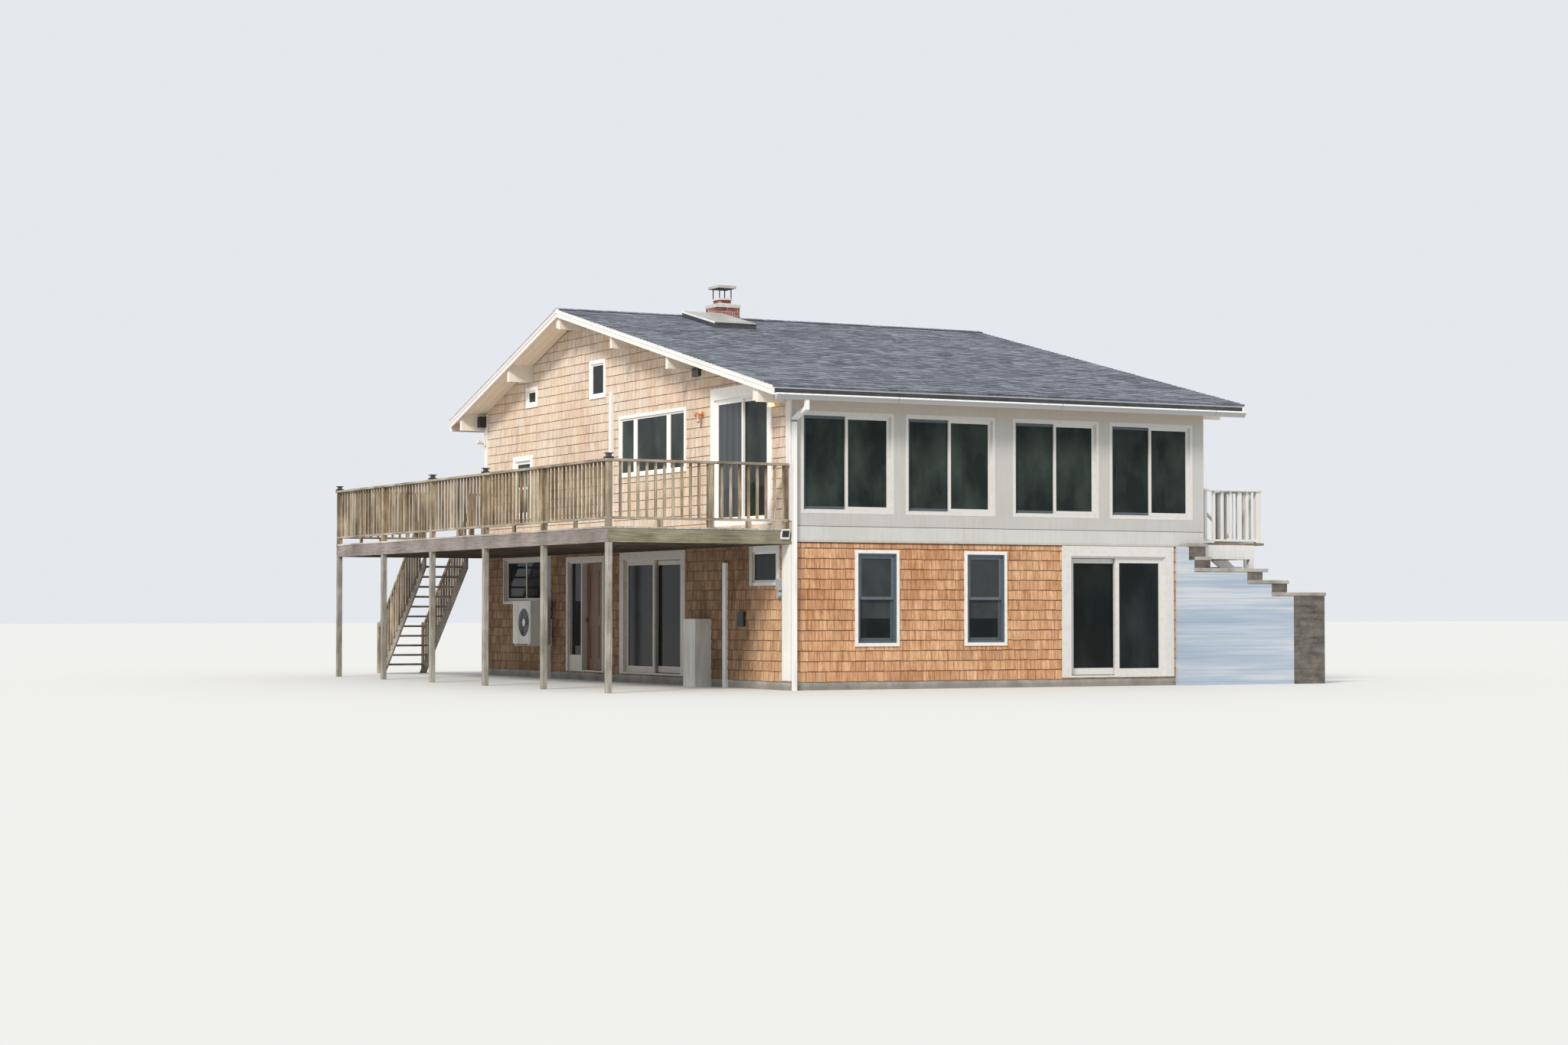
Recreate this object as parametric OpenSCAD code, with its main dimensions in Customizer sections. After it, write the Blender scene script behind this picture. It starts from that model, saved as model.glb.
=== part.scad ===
// Two-storey beach house with a gable roof, a side deck on posts, a rear stair
// and a landing. Millimetres. The front looks along -Y, the deck side along -X,
// and the origin is the centre of the house footprint at the underside of its base.

/* [House body] */
// Width of the house along the front
house_w = 7840; // [7840:10:9600]
// Depth of the house along the deck side
house_d = 12880; // [12600:10:15500]
// Thickness of the outside walls
wall_t = 150; // [120:5:180]
// Height of the top of the concrete base, which is the lower floor
base_top = 150; // [100:5:200]
// Height of the underside of the upper floor
floor_under = 2345; // [2300:5:2450]
// Thickness of the upper floor with its joists
floor_t = 275; // [220:5:330]

/* [Roof] */
// Distance of the ridge from the front wall face
ridge_y = 8070; // [7000:10:9200]
// Height of the roof surface at the ridge
ridge_z = 6700; // [6400:10:7800]
// Height of the roof surface at the front eave
eave_front_z = 4710; // [4600:10:5200]
// Height of the roof surface at the back eave
eave_back_z = 5010; // [4700:10:5400]
// How far the front eave stands out from the wall
eave_front_out = 433; // [350:1:700]
// How far the back eave stands out from the wall
eave_back_out = 540; // [400:1:800]
// How far the roof stands out over each gable
rake_out = 545; // [350:5:700]
// Thickness of the shingled roof covering
cover_t = 25; // [20:1:40]
// Thickness of the roof planks
plank_t = 40; // [30:1:60]
// Width of a roof beam
beam_w = 89; // [60:1:140]
// Depth from the roof surface to the underside of a roof beam
beam_drop = 365; // [280:5:420]
// Depth of the barge boards below the covering
barge_h = 125; // [110:5:200]
// Depth of the eave fascias below the covering
fascia_h = 185; // [150:5:240]

/* [Windows] */
// Left edges of the four front upper windows
front_upper_x = [201, 2089, 4097, 5986]; // [0:1:8000]
// Width of a front upper window opening
front_upper_w = 1590; // [1300:5:1700]
// Height of a front upper window opening
front_upper_h = 1520; // [1200:5:1600]
// Sill height of the front upper windows above the upper floor
front_upper_sill = 185; // [120:5:400]
// Left edges of the two front lower windows
front_lower_x = [1189, 3199]; // [0:1:8000]
// Width of a front lower window opening
front_lower_w = 683; // [550:1:900]
// Height of a front lower window opening
front_lower_h = 1400; // [1000:5:1450]
// Sill height of the front lower windows
front_lower_sill = 740; // [500:5:900]
// Face width of a window frame round fixed glass
frame_face = 45; // [30:1:60]
// Face width of a window frame round sliding sashes
frame_rim = 26; // [20:1:35]
// Face width of a sash
sash_face = 46; // [30:1:60]
// Depth of a window frame in the wall
frame_depth = 100; // [70:5:110]
// Width of a bar between two panes
bar_face = 50; // [30:1:70]
// Width of the mullions of the triple window
mullion_face = 150; // [80:1:180]
// Thickness of the glass units
glass_t = 12; // [6:1:24]
// How far the outside casings stand proud of the wall
casing_proud = 28; // [15:1:40]

/* [Doors] */
// Left edge of the front patio door opening
front_door_x = 5166; // [4200:1:5600]
// Width of the front patio door opening
front_door_w = 1899; // [1600:1:2100]
// Nearest edge of the deck side patio door opening
side_door_y = 3930; // [3700:1:4300]
// Width of the deck side patio door opening
side_door_w = 2340; // [1800:5:2450]
// Nearest edge of the entry door opening
entry_y = 7180; // [7000:5:7500]
// Width of the entry door leaf
entry_leaf_w = 900; // [760:5:1000]
// Width of the entry side light with its frame
entry_light_w = 510; // [400:5:600]
// Height of the lower door openings above the lower floor
door_h = 2000; // [1950:5:2100]
// Face width of a door frame's jambs and head
jamb_face = 40; // [30:1:60]
// Thickness of a sliding door leaf
leaf_t = 40; // [32:1:44]
// Thickness of the entry door leaf
entry_t = 45; // [35:1:50]
// Clear gap round a moving leaf
leaf_gap = 8; // [6:1:12]

/* [Deck] */
// How far the deck stands out from the deck side wall
deck_out = 3125; // [2500:10:3600]
// Length of the deck along the wall
deck_len = 12650; // [12000:10:12800]
// Height of the deck surface
deck_top = 2515; // [2480:5:2600]
// Thickness of the deck boards
board_t = 30; // [22:1:40]
// Depth of the deck joists and rims
joist_h = 210; // [180:5:220]
// Thickness of a joist or rim
joist_t = 38; // [30:1:50]
// Number of deck bays between posts
deck_bays = 5; // [4:1:6]
// Side of a square post
post_w = 90; // [80:1:120]
// Height of the railings above the deck
rail_h = 1020; // [900:5:1100]
// Side of a baluster
baluster_w = 38; // [30:1:45]
// Distance between baluster centres
baluster_step = 147; // [120:1:170]
// Number of risers in the deck stair
stair_risers = 13; // [11:1:15]
// Going of one step of the deck stair
stair_going = 215; // [190:5:260]
// Width of the deck stair over its stringers
stair_w = 900; // [750:5:1050]
// Distance of the deck stair from the deck side wall
stair_in = 450; // [300:5:700]

/* [Landing] */
// How far the landing stands out from the house
landing_out = 1310; // [900:10:1600]
// Depth of the landing along the house
landing_d = 2200; // [1900:10:2600]
// Height of the landing surface
landing_top = 2400; // [2200:5:2450]

/* [Hidden] */

floor_top = floor_under + floor_t;
pitch_front = (ridge_z - eave_front_z) / (ridge_y + eave_front_out);
pitch_back = (ridge_z - eave_back_z) / (house_d + eave_back_out - ridge_y);
eave_front_y = -eave_front_out;
eave_back_y = house_d + eave_back_out;
side_wall_y0 = wall_t;
side_wall_y1 = house_d - wall_t;

// Hairline gap left where sloping faces bed on each other
seat_gap = 0.3;

// Height of the roof surface over a place y, and of the faces that bed below the covering
// and below the planks
function roof_z(y) = y < ridge_y
    ? ridge_z - (ridge_y - y) * pitch_front
    : ridge_z - (y - ridge_y) * pitch_back;
function plank_z(y) = roof_z(y) - cover_t - seat_gap;
function soffit_z(y) = plank_z(y) - plank_t - seat_gap;

// Openings as [place along the wall, sill height, width, height]
front_upper_openings = [for (x = front_upper_x)
    [x, floor_top + front_upper_sill, front_upper_w, front_upper_h]];
front_lower_openings = [for (x = front_lower_x)
    [x, front_lower_sill, front_lower_w, front_lower_h]];
deck_door_opening = [760, floor_top, 1910, 2080];
triple_opening = [3800, 3620, 2630, 1000];
loft_opening = [7134, 5100, 586, 590];
vent_opening = [10280, 5150, 440, 270];
far_opening = [10540, 3050, 780, 1060];
deck_side_upper_openings =
    [deck_door_opening, triple_opening, loft_opening, vent_opening, far_opening];
deck_side_lower_openings = [[450, 1680, 850, 505], [9740, 1420, 2120, 815]];
landing_door_opening = [700, floor_top, 910, 2040];
right_upper_openings = [landing_door_opening, [3900, 3100, 1590, 1200], [9000, 3300, 1590, 1000]];
back_upper_openings = [[1000, 3300, 1590, 1100], [5250, 3300, 1590, 1100]];
back_lower_openings = [for (x = [1500, 5650]) [x, front_lower_sill, front_lower_w, front_lower_h]];

// Places of the mullions of the triple window, measured from its left edge seen from outside
triple_bars = [610, 1960];

entry_gap_hinge = 5;
entry_mullion = 50;
entry_w = 2 * jamb_face + entry_gap_hinge + entry_leaf_w + leaf_gap + entry_mullion + entry_light_w;

sill_face = 30;
door_frame_back = 5;
leaf_stile = 75;
upper_stile = 50;
upper_casing = 130;
leaf_bottom = 110;
leaf_lap = 35;
track_fixed_y = 20;
track_slide_y = 80;
wide_casing = 160;
roller_r = 10;
roller_gap = 0.3;
casing_lap = 10;
hinge_r = 8;
hinge_plate = 3;
hinge_gap = 0.3;
fit_gap = 3;
chimney_x = 3020;
chimney_y = 8750;
chimney_w = 480;
chimney_d = 460;
chimney_gap = 20;
skylight_x = 1870;
skylight_y = 6500;
skylight_w = 855;
skylight_d = 1400;
skylight_rise = 80;
skylight_flange = 25;
skylight_curb = 60;

white = [0.87, 0.86, 0.83];
cedar = [0.72, 0.47, 0.3];
pale_cedar = [0.82, 0.68, 0.56];
weathered = [0.5, 0.43, 0.38];
slate = [0.3, 0.32, 0.36];
concrete = [0.66, 0.64, 0.6];
brick = [0.6, 0.25, 0.18];
frame_grey = [0.42, 0.46, 0.5];
pane = [0.2, 0.25, 0.27, 0.5];

// Moves a piece drawn from the near corner of the house to the centred frame
module from_corner() translate([-house_w / 2, -house_d / 2, 0]) children();

// Draws a Y-Z outline from x0 to x1
module along_x(x0, x1) translate([x0, 0, 0]) rotate([90, 0, 90]) linear_extrude(x1 - x0) children();

// Draws an X-Z outline from y0 to y1
module along_y(y0, y1) translate([0, y1, 0]) rotate([90, 0, 0]) linear_extrude(y1 - y0) children();

// A block between two opposite corners
module block(low, high) translate(low) cube(high - low);

// Puts a piece drawn from its left edge, outside towards -Y, on one of the four walls
module on_front(place) translate([place, 0, 0]) children();
module on_deck_side(place, w) translate([0, place + w, 0]) rotate([0, 0, -90]) children();
module on_right(place) translate([house_w, place, 0]) rotate([0, 0, 90]) children();
module on_back(place, w) translate([place + w, house_d, 0]) rotate([0, 0, 180]) children();

// Spans of the panes between the bars of a frame
function spans(size, face, bars, bar) =
    let (cuts = concat([face], [for (b = bars) each [b - bar / 2, b + bar / 2]], [size - face]))
    [for (i = [0:2:len(cuts) - 1]) [cuts[i], cuts[i + 1]]];

sash_t = 30;
sash_out = 12;
glass_in = 9;

// Spans along one side of the outer sash and of the inner sash, which meet at mid size
function outer_span(size) = [size / 2 - sash_face / 2, size - frame_rim];
function inner_span(size) = [frame_rim, size / 2 + sash_face / 2];

// A window frame with its bars, and a casing that laps over it on the wall face
module window(opening, bars_x, bars_z, casing, foot, bar = bar_face) {
    w = opening[2];
    h = opening[3];
    translate([0, 0, opening[1]]) {
        difference() {
            cube([w, frame_depth, h]);
            for (sx = spans(w, frame_face, bars_x, bar))
                for (sz = spans(h, frame_face, bars_z, bar))
                    block([sx[0], -1, sz[0]], [sx[1], frame_depth + 1, sz[1]]);
        }
        casing_ring(w, h, casing, foot);
    }
}

// One sash between two places, in the outer plane or in the one behind it
module sash(sx, sz, plane) translate([0, sash_out + plane * sash_t, 0]) difference() {
    block([sx[0], 0, sz[0]], [sx[1], sash_t, sz[1]]);
    block([sx[0] + sash_face, -1, sz[0] + sash_face], [sx[1] - sash_face, sash_t + 1, sz[1] - sash_face]);
}

module sash_glass(sx, sz, plane) translate([0, sash_out + plane * sash_t + glass_in, 0])
    block([sx[0] + sash_face, 0, sz[0] + sash_face], [sx[1] - sash_face, glass_t, sz[1] - sash_face]);

// Frame and casing round a pair of sashes
module sash_frame(w, h, casing, foot) {
    difference() {
        cube([w, frame_depth, h]);
        block([frame_rim, -1, frame_rim], [w - frame_rim, frame_depth + 1, h - frame_rim]);
    }
    casing_ring(w, h, casing, foot);
}

// A sliding window, its right sash in front of its left one
module slider_window(o, casing, foot) translate([0, 0, o[1]]) {
    sash_frame(o[2], o[3], casing, foot);
    sash(outer_span(o[2]), [frame_rim, o[3] - frame_rim], 0);
    sash(inner_span(o[2]), [frame_rim, o[3] - frame_rim], 1);
}

module slider_window_glass(o) translate([0, 0, o[1]]) {
    sash_glass(outer_span(o[2]), [frame_rim, o[3] - frame_rim], 0);
    sash_glass(inner_span(o[2]), [frame_rim, o[3] - frame_rim], 1);
}

// A double hung window, its upper sash in front of its lower one
module hung_window(o, casing, foot) translate([0, 0, o[1]]) {
    sash_frame(o[2], o[3], casing, foot);
    sash([frame_rim, o[2] - frame_rim], outer_span(o[3]), 0);
    sash([frame_rim, o[2] - frame_rim], inner_span(o[3]), 1);
}

module hung_window_glass(o) translate([0, 0, o[1]]) {
    sash_glass([frame_rim, o[2] - frame_rim], outer_span(o[3]), 0);
    sash_glass([frame_rim, o[2] - frame_rim], inner_span(o[3]), 1);
}

// A flat board ring round an opening, with its foot left open where foot is 0
module casing_ring(w, h, face, foot, head = 0) {
    top = head > 0 ? head : face;
    difference() {
        block([-face, -casing_proud, -foot], [w + face, 0, h + top]);
        block([casing_lap, -casing_proud - 1, foot > 0 ? casing_lap : -1],
            [w - casing_lap, 1, h - casing_lap]);
    }
}

// The glass units that fill a window frame
module window_glass(opening, bars_x, bars_z, bar = bar_face) {
    for (sx = spans(opening[2], frame_face, bars_x, bar))
        for (sz = spans(opening[3], frame_face, bars_z, bar))
            translate([0, 0, opening[1]])
                block([sx[0], sash_out, sz[0]], [sx[1], sash_out + glass_t, sz[1]]);
}

// Holes for a list of openings in a wall that runs along X or along Y
module holes_x(openings, y0)
    for (o = openings) block([o[0], y0 - 1, o[1]], [o[0] + o[2], y0 + wall_t + 1, o[1] + o[3]]);
module holes_y(openings, x0)
    for (o = openings) block([x0 - 1, o[0], o[1]], [x0 + wall_t + 1, o[0] + o[2], o[1] + o[3]]);

module foundation() color(concrete) from_corner() block([0, 0, 0], [house_w, house_d, base_top]);

// Lower walls stand on the base and are parted by the doorways that open
module front_wall_lower() color(cedar) from_corner() difference() {
    union() {
        block([0, 0, base_top], [front_door_x, wall_t, floor_under]);
        block([front_door_x + front_door_w, 0, base_top], [house_w, wall_t, floor_under]);
    }
    holes_x(front_lower_openings, 0);
}

module deck_side_wall_lower() color(cedar) from_corner() difference() {
    union() {
        block([0, side_wall_y0, base_top], [wall_t, side_door_y, floor_under]);
        block([0, side_door_y + side_door_w, base_top], [wall_t, entry_y, floor_under]);
        block([0, entry_y + entry_w, base_top], [wall_t, side_wall_y1, floor_under]);
    }
    holes_y(deck_side_lower_openings, 0);
}

module door_headers() color(cedar) from_corner() {
    head = base_top + door_h;
    block([front_door_x, 0, head], [front_door_x + front_door_w, wall_t, floor_under]);
    block([0, side_door_y, head], [wall_t, side_door_y + side_door_w, floor_under]);
    block([0, entry_y, head], [wall_t, entry_y + entry_w, floor_under]);
}

module back_wall_lower() color(cedar) from_corner() difference() {
    block([0, side_wall_y1, base_top], [house_w, house_d, floor_under]);
    holes_x(back_lower_openings, side_wall_y1);
}

module right_wall_lower() color(cedar) from_corner()
    block([house_w - wall_t, side_wall_y0, base_top], [house_w, side_wall_y1, floor_under]);

module chimney_hole(z0, z1)
    block([chimney_x - chimney_gap, chimney_y - chimney_gap, z0],
        [chimney_x + chimney_w + chimney_gap, chimney_y + chimney_d + chimney_gap, z1]);

module upper_floor() color(weathered) from_corner() difference() {
    block([0, 0, floor_under], [house_w, house_d, floor_top]);
    chimney_hole(floor_under - 1, floor_top + 1);
}

// Outline of a wall along Y under the roof planks
module under_roof(y0, y1, z0) {
    over_ridge = y0 < ridge_y && y1 > ridge_y ? [[ridge_y, soffit_z(ridge_y)]] : [];
    polygon(concat([[y1, z0], [y1, soffit_z(y1)]], over_ridge, [[y0, soffit_z(y0)], [y0, z0]]));
}

beam_front_y = [200, 3500, 5770];
beam_back_y = [10510, 12970];
beam_y = concat(beam_front_y, [ridge_y], beam_back_y);

// Outline of one roof beam, whose top follows the planks
module beam_outline(y, gap) {
    y0 = y - beam_w / 2 - gap;
    y1 = y + beam_w / 2 + gap;
    z0 = roof_z(y) - beam_drop;
    intersection() {
        translate([y0, z0]) square([y1 - y0, beam_drop]);
        under_roof(y0 - 1, y1 + 1, z0 - 1);
    }
}

module beam_pockets(x0) for (y = beam_y) along_x(x0 - 1, x0 + wall_t + 1) {
    z0 = roof_z(y) - beam_drop;
    translate([y - beam_w / 2 - fit_gap, z0]) square([beam_w + 2 * fit_gap, beam_drop + 50]);
}

module front_wall_upper() color(white) from_corner() difference() {
    along_x(0, house_w) under_roof(0, wall_t, floor_top);
    holes_x(front_upper_openings, 0);
}

module back_wall_upper() color(pale_cedar) from_corner() difference() {
    along_x(0, house_w) under_roof(side_wall_y1, house_d, floor_top);
    holes_x(back_upper_openings, side_wall_y1);
}

module deck_side_wall_upper() color(pale_cedar) from_corner() difference() {
    along_x(0, wall_t) under_roof(side_wall_y0, side_wall_y1, floor_top);
    holes_y(deck_side_upper_openings, 0);
    beam_pockets(0);
}

module right_wall_upper() color(pale_cedar) from_corner() difference() {
    along_x(house_w - wall_t, house_w) under_roof(side_wall_y0, side_wall_y1, floor_top);
    holes_y(right_upper_openings, house_w - wall_t);
    beam_pockets(house_w - wall_t);
}

band_t = 25;
band_joint = floor_under + 222;
front_casing = 40;

// White board across the front at the upper floor, and the panelling above it with its
// window cut-outs, the board standing prouder
module front_bands() color(white) from_corner() {
    block([0, -band_t - 8, floor_under - 30], [house_w, 0, band_joint - 4]);
    difference() {
        along_x(0, house_w) under_roof(-band_t, 0, band_joint);
        for (o = front_upper_openings)
            block([o[0] - front_casing, -band_t - 1, o[1] - front_casing],
                [o[0] + o[2] + front_casing, 1, o[1] + o[3] + front_casing]);
    }
}

corner_w = 90;
corner_wide = 255;
corner_upper = 130;
deck_ledge = deck_top - board_t - joist_h;

// White corner boards, plumb from the base to the soffit
module corner_trim() color(white) from_corner() {
    z0 = base_top;
    block([-band_t, -band_t, z0], [0, corner_wide, deck_ledge - 5]);
    block([-band_t, -band_t, floor_top + 20], [0, corner_upper, soffit_z(-band_t)]);
    block([-band_t, house_d - corner_w, z0], [0, house_d + band_t, deck_ledge - 5]);
    block([-band_t, house_d - corner_upper, floor_top + 20], [0, house_d + band_t, soffit_z(house_d + band_t)]);
    block([house_w, house_d - corner_w, z0], [house_w + band_t, house_d + band_t, soffit_z(house_d) - 20]);
    block([house_w, 0, z0], [house_w + band_t, corner_w, soffit_z(0)]);
}

rake_t = 32;
rake_x0 = -rake_out;
rake_x1 = house_w + rake_out;

// Beams through both gables, and shorter pieces bolted to two of them outside the deck side wall
module roof_beams() color(white) from_corner() {
    for (y = beam_y) along_x(rake_x0 + rake_t + 20, rake_x1 - rake_t - 20) beam_outline(y, 0);
    for (s = [[beam_front_y[0], 100], [ridge_y, 80]]) along_x(rake_x0 + rake_t + 20, 0) {
        y0 = s[0] + beam_w / 2;
        z0 = roof_z(s[0]) - beam_drop + 24;
        intersection() {
            translate([y0, z0]) square([s[1], beam_drop]);
            under_roof(y0 - 1, y0 + s[1] + 1, z0 - 1);
        }
    }
}

ridge_gap = 12;
plank_drop = cover_t + seat_gap + plank_t;
fascia_t = 25;
drip_out = 12;

// A slab that follows one roof slope between two places, from a drop to another below the surface
module slope(y0, y1, drop0, drop1)
    polygon([[y0, roof_z(y0) - drop1], [y1, roof_z(y1) - drop1],
        [y1, roof_z(y1) - drop0], [y0, roof_z(y0) - drop0]]);

module skylight_hole() translate([skylight_x + skylight_curb, skylight_y + skylight_curb, 4000])
    cube([skylight_w - 2 * skylight_curb, skylight_d - 2 * skylight_curb, 4000]);

module roof_planks() color(white) from_corner() difference() {
    along_x(rake_x0 + rake_t, rake_x1 - rake_t) {
        slope(eave_front_y + fascia_t, ridge_y - ridge_gap / 2, cover_t + seat_gap, plank_drop);
        slope(ridge_y + ridge_gap / 2, eave_back_y - fascia_t, cover_t + seat_gap, plank_drop);
    }
    skylight_hole();
    chimney_hole(5000, 9000);
}

module roof_covering() color(slate) from_corner() difference() {
    along_x(rake_x0 - drip_out, rake_x1 + drip_out) {
        slope(eave_front_y - drip_out, ridge_y - ridge_gap / 2, 0, cover_t);
        slope(ridge_y + ridge_gap / 2, eave_back_y + drip_out, 0, cover_t);
    }
    skylight_hole();
    chimney_hole(5000, 9000);
}

cap_w = 150;
cap_t = 15;

module ridge_cap() color(slate) from_corner() along_x(rake_x0 - drip_out, rake_x1 + drip_out)
    translate([0, seat_gap]) polygon([[ridge_y - cap_w, roof_z(ridge_y - cap_w)], [ridge_y, ridge_z],
        [ridge_y + cap_w, roof_z(ridge_y + cap_w)],
        [ridge_y + cap_w, roof_z(ridge_y + cap_w) + cap_t], [ridge_y, ridge_z + cap_t],
        [ridge_y - cap_w, roof_z(ridge_y - cap_w) + cap_t]]);

barge_strip_h = 45;
barge_strip_t = 10;
barge_joint = 4;

// A pair of barge boards below the covering, plumb cut at the eaves and at the ridge joint
module barge_outline(depth) {
    slope(eave_front_y, ridge_y - barge_joint / 2, cover_t + seat_gap, cover_t + depth);
    slope(ridge_y + barge_joint / 2, eave_back_y, cover_t + seat_gap, cover_t + depth);
}

module barge_boards() color(white) from_corner() {
    along_x(rake_x0, rake_x0 + rake_t) barge_outline(barge_h);
    along_x(rake_x0 - barge_strip_t, rake_x0) barge_outline(barge_strip_h);
    along_x(rake_x1 - rake_t, rake_x1) barge_outline(barge_h);
    along_x(rake_x1, rake_x1 + barge_strip_t) barge_outline(barge_strip_h);
}

// Eave fascias close the plank ends between the barge boards
module eave_fascias() color(slate) from_corner() along_x(rake_x0 + rake_t, rake_x1 - rake_t) {
    y0 = eave_front_y;
    y1 = eave_front_y + fascia_t;
    polygon([[y0, plank_z(y0) - fascia_h], [y1, plank_z(y0) - fascia_h],
        [y1, plank_z(y1)], [y0, plank_z(y0)]]);
    y2 = eave_back_y - fascia_t;
    y3 = eave_back_y;
    polygon([[y2, plank_z(y3) - fascia_h], [y3, plank_z(y3) - fascia_h],
        [y3, plank_z(y3)], [y2, plank_z(y2)]]);
}

gutter_w = 115;
gutter_h = 95;
gutter_wall = 5;
gutter_drop = 98;
gutter_cap = 3;

// Outside of a gutter with a flat back and a bowed front, hung on a fascia at y = 0
module gutter_outline() polygon([[0, 0], [0, -gutter_h], [-gutter_w * 0.62, -gutter_h],
    [-gutter_w * 0.8, -gutter_h * 0.62], [-gutter_w, -gutter_h * 0.3], [-gutter_w, 0]]);

// The gutter's section, with its trough cut out and a rolled lip along its front
module gutter_section() {
    difference() {
        gutter_outline();
        gutter_trough();
    }
    translate([5 - gutter_w, -5]) circle(r = 5, $fn = 24);
}

module gutter_trough() polygon([[-gutter_wall, 1], [-gutter_wall, gutter_wall - gutter_h],
    [gutter_wall * 0.6 - gutter_w * 0.62, gutter_wall - gutter_h],
    [gutter_wall - gutter_w * 0.8, -gutter_h * 0.62],
    [gutter_wall - gutter_w, gutter_wall * 0.5 - gutter_h * 0.3], [gutter_wall - gutter_w, 1]]);

gutter_front_z = plank_z(eave_front_y) - gutter_drop;
gutter_back_z = plank_z(eave_back_y) - gutter_drop;

module gutter_pair() {
    translate([eave_front_y, gutter_front_z]) children();
    translate([eave_back_y, gutter_back_z]) mirror([1, 0]) children();
}

// Both gutters, closed by a plate at each end
module gutters() color(white) from_corner() {
    along_x(rake_x0 + rake_t, rake_x1 - rake_t) gutter_pair() gutter_section();
    along_x(rake_x0 + rake_t, rake_x0 + rake_t + gutter_cap) gutter_pair() gutter_outline();
    along_x(rake_x1 - rake_t - gutter_cap, rake_x1 - rake_t) gutter_pair() gutter_outline();
}

spout_w = 68;
spout_d = 55;
spout_x = -8;
spout_back_x = house_w - 70;
elbow_drop = 290;
outlet_drop = 150;
strap_h = 30;

// One downspout: an outlet under the gutter, an arm slanting back to the wall, a plumb pipe
// and the straps that hold it off the wall
module downspout(x, gutter_y, gutter_z, wall_y, out) {
    outlet_y = gutter_y + out * gutter_w * 0.35;
    pipe_y = wall_y + out * (band_t + 40);
    outlet_z = gutter_z - gutter_h;
    translate([x, outlet_y - spout_d / 2, outlet_z - outlet_drop])
        cube([spout_w, spout_d, outlet_drop]);
    hull() {
        translate([x, outlet_y - spout_d / 2, outlet_z - outlet_drop]) cube([spout_w, spout_d, 50]);
        translate([x, pipe_y - spout_d / 2, outlet_z - elbow_drop]) cube([spout_w, spout_d, 50]);
    }
    translate([x, pipe_y - spout_d / 2, 0]) cube([spout_w, spout_d, outlet_z - elbow_drop]);
    strap_y = pipe_y - out * spout_d / 2;
    for (z = [600, 1900]) block([x + 14, min(strap_y, wall_y), z],
        [x + spout_w - 6, max(strap_y, wall_y), z + strap_h]);
}

module downspouts() color(white) from_corner() {
    downspout(spout_x, eave_front_y, gutter_front_z, 0, -1);
    downspout(spout_back_x, eave_back_y, gutter_back_z, house_d, 1);
}

module skylight_outline(drop, inset) {
    y0 = skylight_y + inset;
    y1 = skylight_y + skylight_d - inset;
    polygon([[y0, roof_z(y0) + drop[0]], [y1, roof_z(y1) + drop[0]],
        [y1, roof_z(y1) + drop[1]], [y0, roof_z(y0) + drop[1]]]);
}

// A dark curb round the opening, with a wider flange on top that holds the glass
module skylight_frame() color(slate) from_corner() difference() {
    union() {
        along_x(skylight_x + 12, skylight_x + skylight_w - 12)
            skylight_outline([seat_gap, skylight_rise], 12);
        along_x(skylight_x, skylight_x + skylight_w)
            skylight_outline([skylight_rise - 1, skylight_rise + skylight_flange], 0);
    }
    skylight_hole();
}

module skylight_glass() color(pane) from_corner()
    along_x(skylight_x + 40, skylight_x + skylight_w - 40) skylight_outline(
        [skylight_rise + skylight_flange + seat_gap, skylight_rise + skylight_flange + glass_t], 40);

chimney_top_z = 6985;

module chimney_stack() color(brick) from_corner()
    block([chimney_x, chimney_y, base_top],
        [chimney_x + chimney_w, chimney_y + chimney_d, chimney_top_z]);

// Concrete crown with a sloped wash, a brick collar, a rim and a rain slab on four legs
module chimney_top() color(concrete) from_corner()
    translate([chimney_x + chimney_w / 2, chimney_y + chimney_d / 2, chimney_top_z]) {
        half_w = chimney_w / 2;
        half_d = chimney_d / 2;
        translate([-half_w - 15, -half_d - 15, 0]) cube([chimney_w + 30, chimney_d + 30, 60]);
        hull() {
            translate([-half_w - 15, -half_d - 15, 60]) cube([chimney_w + 30, chimney_d + 30, 1]);
            translate([-150, -150, 89]) cube([270, 300, 1]);
        }
        translate([-135, -135, 85]) cube([240, 270, 65]);
        translate([-160, -160, 150]) cube([290, 320, 35]);
        for (x = [-145, 99], y = [-145, 129]) translate([x, y, 180]) cube([16, 16, 192]);
        translate([-205, -220, 370]) cube([380, 440, 50]);
    }

module front_upper_windows() color(frame_grey) from_corner()
    for (o = front_upper_openings) on_front(o[0]) slider_window(o, front_casing, front_casing);

module front_lower_windows() color(frame_grey) from_corner()
    for (o = front_lower_openings) on_front(o[0]) hung_window(o, 60, 60);

module deck_side_upper_windows() color(white) from_corner() {
    on_deck_side(triple_opening[0], triple_opening[2])
        window(triple_opening, triple_bars, [], 45, 40, mullion_face);
    on_deck_side(loft_opening[0], loft_opening[2]) window(loft_opening, [], [], 55, 45);
    on_deck_side(vent_opening[0], vent_opening[2]) window(vent_opening, [], [], 60, 60);
    on_deck_side(far_opening[0], far_opening[2]) hung_window(far_opening, 80, 60);
    on_deck_side(deck_door_opening[0], deck_door_opening[2]) {
        fixed_pair(deck_door_opening[2], deck_door_opening[3], floor_top);
        translate([0, 0, floor_top])
            casing_ring(deck_door_opening[2], deck_door_opening[3], upper_casing, 0, 180);
    }
}

module deck_side_lower_windows() color(white) from_corner() {
    small = deck_side_lower_openings[0];
    wide = deck_side_lower_openings[1];
    on_deck_side(small[0], small[2]) window(small, [], [], 85, 40);
    on_deck_side(wide[0], wide[2]) slider_window(wide, 30, 40);
}

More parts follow.
